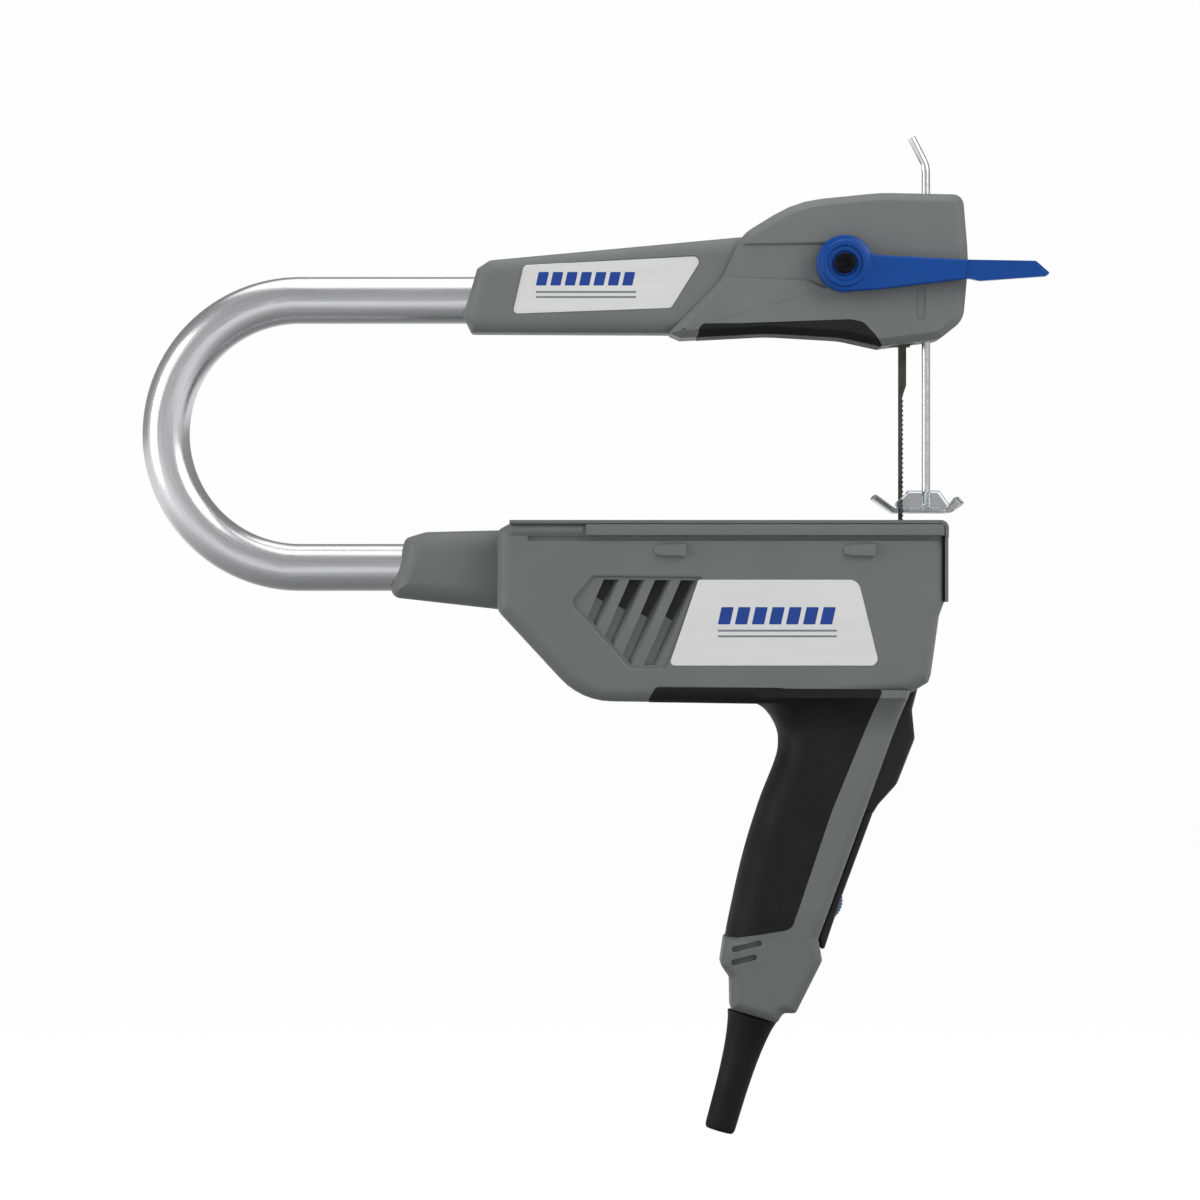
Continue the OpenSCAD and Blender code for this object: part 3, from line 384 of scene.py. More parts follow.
class Finish:
    """A Principled material whose colour, roughness and relief come from procedural textures."""

    def __init__(self, name, rgb, roughness, **sockets):
        self.name = name
        self.material = bpy.data.materials.new(name)
        self.material.use_nodes = True
        self.tree = self.material.node_tree
        self.shader = self.tree.nodes["Principled BSDF"]
        self.rgb = linear(rgb)
        self.shader.inputs["Base Color"].default_value = (*self.rgb, 1)
        self.shader.inputs["Roughness"].default_value = roughness
        for socket, value in sockets.items():
            self.shader.inputs[socket.replace("_", " ")].default_value = value
        self.roughness = roughness
        self.relief = None

    def add(self, kind, **settings):
        node = self.tree.nodes.new(kind)
        for key, value in settings.items():
            if hasattr(node, key):
                setattr(node, key, value)
            else:
                node.inputs[key.replace("_", " ")].default_value = value
        return node

    def link(self, a, b):
        self.tree.links.new(a, b)

    def spots(self, stretch=(1, 1, 1), source="Object"):
        """Texture coordinates, stretched along some axes."""
        coords = self.add("ShaderNodeTexCoord")
        mapping = self.add("ShaderNodeMapping")
        mapping.inputs["Scale"].default_value = stretch
        self.link(coords.outputs[source], mapping.inputs["Vector"])
        return mapping.outputs["Vector"]

    def noise(self, scale, detail=3, **where):
        node = self.add("ShaderNodeTexNoise", Scale=scale, Detail=detail, Roughness=0.55)
        self.link(self.spots(**where), node.inputs["Vector"])
        return node.outputs["Fac"]

    def bands(self, scale, distortion=0.0, axis="X", profile="SIN", **where):
        node = self.add("ShaderNodeTexWave", wave_type="BANDS", bands_direction=axis, wave_profile=profile,
                        Scale=scale, Distortion=distortion)
        self.link(self.spots(**where), node.inputs["Vector"])
        return node.outputs["Fac"]

    def cells(self, scale, **where):
        node = self.add("ShaderNodeTexVoronoi", Scale=scale)
        self.link(self.spots(**where), node.inputs["Vector"])
        return node.outputs["Distance"]

    def spread(self, value, low, high, source=(0.3, 0.7)):
        """The texture value mapped from its middle range to low and high."""
        node = self.add("ShaderNodeMapRange")
        node.inputs["From Min"].default_value, node.inputs["From Max"].default_value = source
        node.inputs["To Min"].default_value, node.inputs["To Max"].default_value = low, high
        self.link(value, node.inputs["Value"])
        return node.outputs["Result"]

    def colours(self, value, dark, light, source=(0.3, 0.7)):
        """Blends the colour between two sRGB colours by a texture value."""
        node = self.add("ShaderNodeMix", data_type="RGBA")
        node.inputs[6].default_value = (*linear(dark), 1)
        node.inputs[7].default_value = (*linear(light), 1)
        self.link(self.spread(value, 0, 1, source), node.inputs[0])
        previous = self.shader.inputs["Base Color"].links
        if previous:
            blend = self.add("ShaderNodeMix", data_type="RGBA", blend_type="OVERLAY")
            blend.inputs[0].default_value = 0.5
            self.link(previous[0].from_socket, blend.inputs[6])
            self.link(node.outputs[2], blend.inputs[7])
            self.link(blend.outputs[2], self.shader.inputs["Base Color"])
        else:
            self.link(node.outputs[2], self.shader.inputs["Base Color"])
        return self

    def tint(self, value, share):
        """Lightens and darkens the base colour by a share of itself."""
        dark = tuple(255 * self.display(c * (1 - share)) for c in self.rgb)
        light = tuple(255 * self.display(min(c * (1 + share), 1)) for c in self.rgb)
        return self.colours(value, dark, light)

    @staticmethod
    def display(c):
        return c * 12.92 if c <= 0.0031308 else 1.055 * c ** (1 / 2.4) - 0.055

    def gloss(self, value, by):
        """Varies the roughness by that much each way."""
        varied = self.spread(value, self.roughness - by, self.roughness + by)
        self.link(varied, self.shader.inputs["Roughness"])
        return self

    def bump(self, value, depth, strength=1.0):
        """Relief of that depth in millimetres, on top of any earlier one."""
        node = self.add("ShaderNodeBump", Strength=strength, Distance=depth * MM)
        self.link(value, node.inputs["Height"])
        if self.relief:
            self.link(self.relief, node.inputs["Normal"])
        self.relief = node.outputs["Normal"]
        self.link(self.relief, self.shader.inputs["Normal"])
        return self


def moulded(name, rgb, roughness, grain=2600, depth=0.02, **sockets):
    """Spark-eroded moulding grain with faint flow marks and uneven gloss."""
    f = Finish(name, rgb, roughness, **sockets)
    f.shader.inputs["Specular IOR Level"].default_value = 0.25
    f.tint(f.noise(38, 4), 0.05).gloss(f.noise(120, 3), 0.06)
    return f.bump(f.noise(grain, 2), depth).bump(f.noise(30, 1), 0.06, 0.5)


def rubber(name, rgb):
    """Soft rubber with a fine pebbled skin and dusty, duller patches."""
    f = Finish(name, rgb, 0.6, Specular_IOR_Level=0.22)
    f.tint(f.noise(55, 5), 0.22).gloss(f.noise(90, 4), 0.08)
    return f.bump(f.cells(2100), 0.035).bump(f.noise(6000, 2), 0.01)


def satin(name, rgb, roughness, stretch=(40, 1000, 1000), **sockets):
    """Brushed or drawn steel: fine marks along one direction, and soft smears."""
    f = Finish(name, rgb, roughness, Metallic=1.0, **sockets)
    f.tint(f.noise(1, 4, stretch=tuple(c * 1.4 for c in stretch)), 0.06)
    f.gloss(f.noise(1, 3, stretch=tuple(c * 0.9 for c in stretch)), 0.05)
    return f.bump(f.noise(1, 2, stretch=stretch), 0.004).bump(f.noise(70, 2), 0.02, 0.4)


def drawn_tube(name, rgb):
    """Satin tube steel: drawing marks that follow the tube's own length, by its UV map."""
    f = Finish(name, rgb, 0.27, Metallic=1.0)
    lengthwise = {"source": "UV", "stretch": (0.8, 60, 1)}
    f.tint(f.noise(1.6, 5, **lengthwise), 0.07)
    f.gloss(f.noise(2.2, 4, source="UV", stretch=(1.2, 36, 1)), 0.06)
    return f.bump(f.noise(2.5, 3, source="UV", stretch=(0.6, 90, 1)), 0.006)


def bright(name, rgb, roughness=0.22):
    f = Finish(name, rgb, roughness, Metallic=1.0)
    f.tint(f.noise(300, 3), 0.05).gloss(f.noise(500, 3), 0.06)
    return f.bump(f.noise(900, 2), 0.004)


def cast_metal(name, rgb):
    f = Finish(name, rgb, 0.46, Metallic=1.0)
    f.tint(f.noise(90, 5), 0.12).gloss(f.noise(140, 4), 0.1)
    return f.bump(f.noise(1300, 4), 0.03)


def wound(name, rgb):
    """Enamelled wire laid side by side."""
    f = Finish(name, rgb, 0.3, Metallic=0.8, Coat_Weight=0.5)
    f.tint(f.noise(160, 4), 0.16)
    return f.bump(f.bands(420, 1.5, axis="DIAGONAL"), 0.1)


def laminated(name, rgb):
    """Stack of steel sheets, edge on."""
    f = Finish(name, rgb, 0.45, Metallic=0.9)
    f.tint(f.noise(1, 3, stretch=(1600, 90, 90)), 0.16)
    return f.bump(f.bands(320, 0.2, axis="X"), 0.05)


def foil(name, rgb):
    """Pearly silver label foil."""
    f = Finish(name, rgb, 0.3, Metallic=0.32, Coat_Weight=0.35, Coat_Roughness=0.12)
    f.tint(f.noise(1, 3, stretch=(30, 30, 260)), 0.03).gloss(f.noise(60, 4), 0.05)
    return f.bump(f.noise(3800, 2), 0.003)


def clear(name, rgb):
    """Clear moulded plastic with faint flow lines."""
    f = Finish(name, rgb, 0.06, Transmission_Weight=1.0, IOR=1.49)
    f.gloss(f.noise(160, 3), 0.03)
    return f.bump(f.noise(1, 2, stretch=(60, 240, 60)), 0.02, 0.6).bump(f.noise(2200, 2), 0.003)


def circuit(name, rgb):
    """Solder-masked board with tracks under the mask."""
    f = Finish(name, rgb, 0.32, Coat_Weight=0.4)
    f.colours(f.bands(180, 2.0, axis="Z", profile="SAW"), (10, 60, 32), (30, 104, 60), (0.46, 0.54))
    return f.bump(f.bands(180, 2.0, axis="Z", profile="SAW"), 0.03).gloss(f.noise(400, 2), 0.06)


def oiled_blade(name, rgb):
    """Hardened blade stock: brownish tempering, ground marks across it."""
    f = Finish(name, rgb, 0.36, Metallic=1.0)
    f.colours(f.noise(110, 4), (58, 52, 44), (96, 94, 90)).gloss(f.noise(240, 3), 0.08)
    return f.bump(f.noise(1, 2, stretch=(1800, 1800, 160)), 0.006)


MATERIALS = {f.name: f.material for f in (
    moulded("shell_grey", (107, 109, 108), 0.46, 2400, 0.022),
    rubber("grip_black", (22, 22, 23)),
    moulded("black_plastic", (31, 31, 32), 0.42, 2000, 0.02),
    foil("label_silver", (218, 218, 219)),
    moulded("ink_blue", (28, 62, 140), 0.38, 5000, 0.002),
    moulded("ink_grey", (120, 122, 128), 0.4, 5000, 0.002),
    drawn_tube("tube_steel", (206, 206, 208)),
    satin("table_steel", (120, 121, 122), 0.38, (60, 900, 900)),
    bright("screw_steel", (30, 30, 33), 0.35),
    laminated("core_steel", (150, 150, 154)),
    wound("copper", (190, 110, 60)),
    bright("brass", (206, 172, 96), 0.3),
    moulded("carbon", (52, 52, 54), 0.6, 1500, 0.03),
    bright("bright_steel", (214, 215, 217)),
    cast_metal("alloy", (176, 178, 182)),
    oiled_blade("blade_steel", (90, 78, 60)),
    moulded("lever_blue", (0, 62, 136), 0.34, 2800, 0.014),
    clear("clear_plastic", (242, 246, 248)),
    circuit("board_green", (22, 84, 48)),
    moulded("dial_grey", (96, 112, 150), 0.42, 2200, 0.02),
)}


def dress(obj, slot):
    obj.data.materials.clear()
    obj.data.materials.append(MATERIALS[slot])


def piece(obj, body, slot, node):
    """Finishes a piece: gives it its finish, sets it riding on its body and hides the CAD node it stands for."""
    dress(obj, slot)
    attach(obj, body)
    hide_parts(node)


# -------------------- sizes from the frame
rail_half = box_mm("table_plate")[1].y
body_half = box_mm("badge_lower_left")[1].y - 0.2
arm_half = box_mm("badge_upper_left")[1].y - 0.2
head_half = box_mm("arm_housing_left")[1].y
nose_half = 12.5
handle_half = 17.3
base_half = 16.4
WALL = 2.4
LABEL_DEPTH = 0.45
ARM_LABEL_SINK = 0.5
VENT_DEPTH = 1.2
# Depth of the black plate behind the vents, which is painted shade.
SHADE_SCREEN_Y = 22.1
rail_bottom = -5.6

tube_low, tube_high = box_mm("frame_tube")
tube_r = tube_high.y
tube_top_z = tube_high.z - tube_r
tube_low_z = tube_low.z + tube_r
bend_r = (tube_top_z - tube_low_z) / 2
bend_x = tube_low.x + tube_r + bend_r

lever_low, lever_high = box_mm("tension_lever")
screw_low, screw_high = box_mm("lever_screw")
joint_spots = {j["name"]: j.get("pos_m") for j in frame["joints"]}
pivot_x, pivot_z = joint_spots["lever_turn"][0] / MM, joint_spots["lever_turn"][2] / MM
dial_x, dial_z = joint_spots["dial_turn"][0] / MM, joint_spots["dial_turn"][2] / MM
rod_low, rod_high = box_mm("foot_rod")
foot_low, foot_high = box_mm("material_foot")
foot_x = rod_high.x - 1.5
foot_z = foot_low.z
paddle_half = box_mm("paddle")[1].y

BOOT_TOP = Vector((-53.2, 0, -176.4))
BOOT_TILT = math.radians(16)
BOOT_DOWN = Vector((-math.sin(BOOT_TILT), 0, -math.cos(BOOT_TILT)))

# -------------------- outlines of the shells
rail_top = -1.2
BODY = [(-143.8, -31.9, 5), (-114.2, -63.9, 25), (-44, -64.9, 0), (2.5, -60.9, 1.5), (8.5, -57.3, 1.5),
        (9.4, -54.5, 3), (12.3, -33.8, 3), (14.1, -29, 2), (14.1, rail_top, 1.6), (-139.4, rail_top, 1),
        (-143.8, -3.6, 3)]
NOSE = [(-183, -27.1, 3.6), (-136, -32.4, 0), (-136, -3.2, 0), (-169.5, -4, 6), (-176.8, -6.2, 3)]
BASE = [(-63.4, -148, 1), (-64.8, -157.5, 2.5), (-61.4, -162.5, 3), (-61.2, -173.4, 1), (-44.6, -178.4, 1),
        (-42.4, -174.9, 2), (-38, -175, 1.5), (-28.6, -156.3, 2), (-30, -148.5, 1), (-29.2, -146, 1)]
GRIP = [(-7.9, -59.8, 1), (-87.8, -58.9, 1.5), (-90.2, -63.1, 1), (-90.2, -70, 0), (-70, -70, 0),
        (-70, -150, 0), (-62.7, -148.3, 0), (-39.8, -145.0, 4.5), (-36.5, -135.2, 20),
        (-25.4, -102.4, 100)]
VENTS = [(-84.3, -52.1, 1), (-71, -20.4, 1), (-110, -20, 2), (-117.5, -29.3, 2), (-96.7, -52.1, 2)]
LOWER_LABEL = [(-83.2, -51.4, 1.5), (-8.9, -51.4, 2.5), (-16.4, -21, 4), (-72.8, -21, 1)]
UPPER_LABEL = [(-138.7, 73.3, 1.5), (-82.2, 75.4, 2), (-70.6, 94, 2), (-134.7, 90.6, 2)]
ARM = [(-153.4, 66.8, 1.5), (-40, 66.3, 0), (-40, 100, 0), (-57.7, 100.8, 0), (-146.6, 92.6, 3),
       (-151.2, 89.6, 1.5), (-156.2, 72.6, 1.5)]
HEAD = [(-83.2, 66.5, 0.6), (-79, 64.7, 3), (-48, 66.3, 60), (-22, 64.8, 30), (-8, 61.7, 4), (13, 64.4, 6),
        (21.3, 71, 8), (23.2, 92, 60), (21.2, 115.6, 4), (-8, 116.2, 60), (-38, 113.2, 40),
        (-57.5, 101.2, 12), (-58.4, 98.6, 1), (-64.6, 85.4, 20)]
ARM_PAD = [(-73.5, 60, 0), (-7.4, 60, 0), (-7.9, 62.4, 0), (-10.1, 65.7, 3), (-14.4, 70.3, 5),
           (-19, 71.1, 6), (-57.5, 69.7, 60), (-71.4, 69.6, 2.5), (-73, 66, 1)]
HANDLE_BACK = [(-66, -60.0), (-62, -62.5), (-58, -64.0), (-53.2, -64.6), (-48.6, -67.2), (-44.9, -72.9),
               (-43.9, -78.5), (-45.1, -85.2), (-50.8, -99.9), (-56.6, -118.8), (-61.4, -140.1),
               (-63.6, -152)]
HANDLE_FRONT = (2.1, -60.7)
HANDLE_SLOPE = 0.3656


def front_x(z):
    """Line of the handle's front edge."""
    return HANDLE_FRONT[0] + (z - HANDLE_FRONT[1]) * HANDLE_SLOPE


def handle_solid(name, grow=0.0, bottom=-152.0):
    """Left half of the handle: soft sections that flare where it meets the housing."""
    back_depth, front_depth, flare, flare_from = 13.0, 4.5, 15.6, -77.2
    taper, taper_from, taper_length = 1.4, -138.0, 14
    fullness = 0.85
    seam = SEAM if grow >= 0 else 0.0
    bm = bmesh.new()
    rings = []
    for x, z in smooth_path(HANDLE_BACK, 6):
        if z < bottom:
            break
        t = min(max((z - flare_from) / flare, 0.0), 0.995)
        half = min(handle_half + flare * (1 - math.sqrt(1 - t ** 2)), body_half - 0.1) + grow
        half -= taper * min(max((taper_from - z) / taper_length, 0.0), 1.0)
        back, front = x - grow, front_x(z) + grow
        deep = min(back_depth, (front - back) * 0.4)
        section = [(back + seam, 0.0)]
        for k in range(13):
            a = math.pi / 2 * k / 12
            section.append((back + deep - deep * math.cos(a) ** fullness,
                            seam + (half - seam) * math.sin(a) ** fullness))
        for k in range(7):
            a = math.pi / 2 * k / 6
            section.append((front - front_depth + front_depth * math.sin(a),
                            half - front_depth + front_depth * math.cos(a)))
        section += [(front, seam), (front - seam, 0.0)]
        rings.append([bm.verts.new((px * MM, py * MM, z * MM)) for px, py in section])
    bridge(bm, rings)
    return new_object(name, bm)


def grip_volume(name, grow, deep, rim):
    """Left half of the rubber's space: a skin round the handle and the housing's lower edge."""
    skin = join(loft(name, BODY, grown(soft_edge(body_half, 5.5, 5.5), grow)), handle_solid("handle", grow))
    common(skin, plate("edge", GRIP, -1, 40, rim))
    core = join(loft("core", BODY, [(deep, -2)] + grown(soft_edge(body_half, 5, 5), -deep)[2:]),
                handle_solid("core_handle", -deep))
    return cut(skin, core)


# -------------------- motor housing
def air_slots():
    """Cutters for the slanted slots: deep at the top, shallower below, with a wide chamfer on the right."""
    lean, width, pitch, chamfer = 23.5, 3.6, 9.1, 0.9
    floor_y = body_half - VENT_DEPTH
    cutters = []
    for i, length in enumerate((22, 29.5, 36, 38.5)):
        corners = slanted(-103.3 + i * pitch, -18.9, length, width, lean, 0)
        foot_a, foot_b, head_b, head_a = [Vector(c[:2]) for c in corners]
        right = Vector((1, 0))
        points = []
        for left, edge, depth in ((foot_a, foot_b, 1.6), (head_a, head_b, 5.4)):
            inner = edge - right * chamfer
            points += [(p.x, floor_y - depth, p.y) for p in (left, inner)]
            points += [(inner.x, floor_y - chamfer, inner.y), (left.x, floor_y + 3, left.y),
                       (edge.x + 3, floor_y + 3, edge.y)]
        cutters.append(common(hull("slot", points), plate("slot_limits", VENTS, 0, 40, -0.9)))
    return cutters


def vent_shade_screen(side):
    """Black plate behind the slots: painted shade, standing in for the dark inside of the housing."""
    name = f"vent_shade_screen_{SIDE_NAMES[side]}"
    screen = loft(name, VENTS, [(-1.2, SHADE_SCREEN_Y - 0.35), (-1.2, SHADE_SCREEN_Y - 0.02)], side)
    dress(screen, "black_plastic")
    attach(screen, "frame")


def rail_lug(x):
    """Stop under the rail: a low ramp with a square end."""
    half, low, high = 5.6, -12.6, -8.5
    face = rail_half - 0.2
    foot = body_half - 2
    points = []
    ramp_end = x - half + 2.2
    for px, inset, reach in ((x - half, 0.9, body_half + 0.4), (ramp_end, 0.2, face), (x + half, 0, face)):
        for pz in (low + inset, high - inset):
            points += [(px, foot, pz), (px, reach, pz)]
    return hull("lug", points)


def motor_shell():
    """Left half of the motor housing with its tube socket and handle."""
    shell = loft("motor_shell_left", BODY, soft_edge(body_half, 5.4, 5.5, 8))
    rail = loft("rail", rectangle(-112.6, rail_bottom, 14.1, rail_top, 0.5),
                [(0, 0.3), (0, rail_half - 0.8), (0.25, rail_half - 0.25), (0.8, rail_half)])
    rear_rail = loft("rear_rail", rectangle(-139.4, rail_bottom, -111, rail_top, 0.5),
                     [(0, 0.3), (0, rail_half - 2.2), (1.2, rail_half - 1.2), (2.0, rail_half - 1)])
    join(shell, loft("nose", NOSE, soft_edge(nose_half, 8.5, 8, 9)), handle_solid("handle"),
         loft("base", BASE, soft_edge(base_half, 4, 5)), rear_rail, rail, rail_lug(-82.7), rail_lug(-15.9))
    roof = body_half - WALL
    inside = loft("inside", BODY,
                  [(WALL, -2), (WALL, roof - 4), (WALL + 1.2, roof - 1.2), (WALL + 4, roof)])
    cut(inside, hull("socket", [(x, y, z) for x in (-190, -132) for y in (-5, 40) for z in (-80, 10)]))
    cut(shell, inside, handle_solid("inside_handle", -4.6, -143))
    cut(shell, plate("groove", rectangle(-133, -7.3, 20, rail_bottom, 0.3), body_half - 1.2, 40),
        plate("notch", rectangle(-113.6, -5.3, -112.4, -1.9, 0.2), rail_half - 1.4, 40))
    join(shell, loft("louvres", VENTS, [(-1.5, SHADE_SCREEN_Y), (-1.5, body_half - WALL + 0.3)]))
    cut(shell, grip_volume("recess", 0.0, 1.5, 0.22))
    cut(shell, loft("vents", VENTS, pocket(body_half, VENT_DEPTH, 1.0)), *air_slots())
    cut(shell, loft("label", LOWER_LABEL, grown(pocket(body_half, LABEL_DEPTH, 0.3), 0.12)))
    for x, z, length, width in ((-50.2, -149.6, 10.8, 1.9), (-52.0, -154.7, 9.2, 1.9)):
        corners = slanted(x, z, length, width, 76, 0.8)
        cut(shell, loft("base_slot", corners, pocket(base_half, 2.2, 0.35)))
    cut(shell, rod("tube_bore", (-190, 0, tube_low_z), (-133, 0, tube_low_z), tube_r + 0.15, 48),
        rod("cord_way", BOOT_TOP + BOOT_DOWN * 4, BOOT_TOP - BOOT_DOWN * 36, 7.05, 40),
        plate("paddle_way", [(-24, -98, 0), (-19, -106, 0), (-8, -106, 0), (7.6, -66, 0), (7.6, -56.8, 0),
                             (-9, -56.8, 0)], -2, paddle_half + 0.5),
        rod("dial_way", (dial_x, -2, dial_z), (dial_x, 3.4, dial_z), 8.4, 48),
        plate("blade_way", rectangle(-10, -10, 4, 2, 0.3), -2, 2))
    return shell


def screw_heads(node):
    """Centre in the side view and outer face of each screw of a node."""
    groups = []
    for vertex in frame["nodes"][node].data.vertices:
        p = vertex.co / MM
        near = [g for g in groups if (g[0].xz - p.xz).length < 8]
        if near:
            near[0].append(p)
        else:
            groups.append([p])
    found = []
    for g in groups:
        xs, zs = [p.x for p in g], [p.z for p in g]
        found.append((min(xs) / 2 + max(xs) / 2, max(p.y for p in g), min(zs) / 2 + max(zs) / 2))
    return found


def screw_holes(shell, node):
    """Counterbores over the heads of the screws, which go in from the left."""
    for x, face, z in screw_heads(node):
        cut(shell, rod("bore", (x, face - 2.6, z), (x, face + 12, z), 3.5, 32))


def housing_pieces():
    """Both halves of the motor housing, the black plates of painted shade behind their vents, and the handle's
    rubber.
    """
    left = motor_shell()
    right = mirrored(left, "motor_shell_right")
    screw_holes(left, "housing_screws")
    for side, shell in ((LEFT, left), (RIGHT, right)):
        polish(shell, bevel=0.4)
        piece(shell, "frame", "shell_grey", f"motor_housing_{SIDE_NAMES[side]}")
        vent_shade_screen(side)
    pad = polish(grip_volume("grip_left", 0.12, 1.35, 0.0), bevel=0.35)
    twin = mirrored(pad, "grip_right")
    screw_holes(pad, "housing_screws")
    polish(twin)
    piece(pad, "frame", "grip_black", "grip_pad_left")
    piece(twin, "frame", "grip_black", "grip_pad_right")


# -------------------- arm
def arm_shell():
    """Left half of the arm with its tension head."""
    shell = loft("arm_shell_left", ARM, soft_edge(arm_half, 6.2, 5.2, 9))
    join(shell, loft("head", HEAD, facet_edge(head_half, 2.7)))
    arm_inside = plate("arm_inside", [(-118, 69.4, 1), (-70, 69.4, 1), (-70, 97, 1), (-118, 92, 1)],
                       -2, arm_half - WALL)
    head_inside = loft("head_inside", HEAD,
                       [(WALL, -2), (WALL, head_half - WALL - 2), (WALL + 2, head_half - WALL)])
    cut(shell, arm_inside, head_inside)
    cut(shell, plate("pad_way", ARM_PAD, -2, 40, 0.15))
    cut(shell, loft("label", UPPER_LABEL, grown(pocket(arm_half - ARM_LABEL_SINK, LABEL_DEPTH, 0.2), 0.12)))
    cut(shell, rod("tube_bore", (-190, 0, tube_top_z), (-119, 0, tube_top_z), tube_r + 0.15, 48),
        rod("rod_way", (foot_x, 0, 50), (foot_x, 0, 130), 2.1, 32),
        plate("blade_way", rectangle(-4.5, 55, 4.6, 68, 0.4), -2, 5.5))
    cut(shell, rod("pivot_way", (pivot_x, -2, pivot_z), (pivot_x, head_half - WALL, pivot_z), 3.1, 32))
    return shell


def arm_pieces():
    """Both halves of the arm, with the lever's side carved, and the rubber pad under the arm."""
    left = arm_shell()
    right = mirrored(left, "arm_shell_right")
    screw_holes(left, "arm_screws")
    park = [(-64.5, 86.2, 0.5), (-33.8, 85.2, 3), (-26, 82, 2), (-24, 98, 2), (-58, 97.6, 2)]
    cut(right, loft("park", park, pocket(head_half, 1.2, 1.0), RIGHT),
        loft("rod_line", rectangle(4.6, 71, 7.6, 82.6, 1.45), pocket(head_half, 0.5, 0.35), RIGHT),
        rod("pivot_open", (pivot_x, -head_half - 2, pivot_z), (pivot_x, 0, pivot_z), 3.1, 32))
    for side, shell in ((LEFT, left), (RIGHT, right)):
        polish(shell, bevel=0.4)
        piece(shell, "frame", "shell_grey", f"arm_housing_{SIDE_NAMES[side]}")
    pad = common(loft("arm_grip", HEAD, both(grown(facet_edge(head_half, 2.7), 0.12))),
                 plate("pad_edge", ARM_PAD, -40, 40))
    cut(pad, plate("blade_way", rectangle(-4.5, 55, 4.6, 68, 0.4), -5.5, 5.5))
    polish(pad, bevel=0.4)
    piece(pad, "frame", "grip_black", "arm_grip_pad")


# -------------------- labels
def label(name, outline, half, side, node, blocks, line):
    """Foil label with a generic print: a row of slanted blue blocks over a thin grey line."""
    face = half + 0.05
    plate_profile = [(0, half - LABEL_DEPTH - 0.1), (0, face - 0.12), (0.12, face)]
    obj = loft(name, outline, plate_profile, side)
    polish(obj)
    piece(obj, "frame", "label_silver", node)
    obj.data.materials.append(MATERIALS["ink_blue"])
    obj.data.materials.append(MATERIALS["ink_grey"])
    x0, x1, z0, z1, count = blocks
    pitch = (x1 - x0) / count
    prints = []
    for i in range(count):
        lean = (z1 - z0) * 0.22
        low, wide = x0 + i * pitch, pitch * 0.72
        high = low + lean
        corners = [(low, z0, 0.3), (low + wide, z0, 0.3), (high + wide, z1, 0.3), (high, z1, 0.3)]
        prints.append((loft("print", corners, [(0, face - 0.05), (0, face + 0.03)], side), 1))
    for z in line:
        prints.append((loft("print", rectangle(x0, z - 0.35, x1, z + 0.35, 0.3),
                            [(0, face - 0.05), (0, face + 0.03)], side), 2))
    bm = bmesh.new()
    bm.from_mesh(obj.data)
    for part, index in prints:
        start = len(bm.faces)
        bm.from_mesh(part.data)
        bm.faces.ensure_lookup_table()
        for face_index in range(start, len(bm.faces)):
            bm.faces[face_index].material_index = index
        bpy.data.objects.remove(part)
    bm.to_mesh(obj.data)
    bm.free()


def labels():
    for side in (RIGHT, LEFT):
        where = SIDE_NAMES[side]
        label(f"lower_label_{where}", LOWER_LABEL, body_half, side, f"badge_lower_{where}",
              (-66, -24, -36.8, -30.7, 7), (-39, -41))
        label(f"upper_label_{where}", UPPER_LABEL, arm_half - ARM_LABEL_SINK, side, f"badge_upper_{where}",
              (-130.3, -94.6, 83.4, 88.2, 7), (79.3, 81.1))


# -------------------- tube, boot, strip
def tube():
    """The bent frame tube, drawn to the ends hidden in the shells."""
    path = [Vector((tube_high.x - i * 8, tube_top_z)) for i in range(int((tube_high.x - bend_x) / 8) + 1)]
    path.append(Vector((bend_x, tube_top_z)))
    steps = 64
    middle = Vector((bend_x, (tube_top_z + tube_low_z) / 2))
    for i in range(1, steps):
        a = math.pi * i / steps
        path.append(middle + Vector((-math.sin(a), math.cos(a))) * bend_r)
    low_end = -134
    path += [Vector((bend_x + (low_end - bend_x) * i / 12, tube_low_z)) for i in range(13)]
    obj = sweep("tube", path, tube_r, 64, bore=tube_r - 1.5)
    polish(obj)
    piece(obj, "frame", "tube_steel", "frame_tube")


def boot():
    """Moulded strain relief: a quick taper that levels out, with a rounded end and a cord hole."""
    length, bore = 42.8, 3.6
    profile = [(bore, -5), (7, -5), (7, 0.05), (8.85, 0.05), (9.0, 0.4)]
    slim, flare, settle = 5.32, 3.65, 0.3
    for k in range(1, 15):
        way = k / 15
        profile.append((slim + flare * math.exp(-way / settle), way * length))
    profile += [(5.42, length - 1.4), (5.15, length - 0.5), (4.6, length), (bore + 0.3, length),
                (bore, length - 0.4)]
    obj = lathe("boot", BOOT_TOP, BOOT_DOWN, profile, 56)
    polish(obj)
    piece(obj, "frame", "grip_black", "cord_boot")


def strip():
    """Black bezel down the handle's front, open for the speed dial."""
    z0, z1 = -148.4, -103
    corners = [(front_x(z0) + 0.1, z0, 0.4), (-29.0, z0 - 4, 0.6), (-27.6, z0 - 4, 0.8),
               (front_x(-134) + 3.2, -134, 20), (front_x(z1) + 3.4, z1, 1), (front_x(z1) + 0.1, z1, 0.4)]
    obj = loft("strip", corners, both(soft_edge(7, 0.9, 1.6, 4)))
    cut(obj, rod("dial_way", (dial_x, -3.4, dial_z), (dial_x, 3.4, dial_z), 9.4, 48))
    polish(obj, bevel=0.25)
    piece(obj, "frame", "black_plastic", "front_strip")


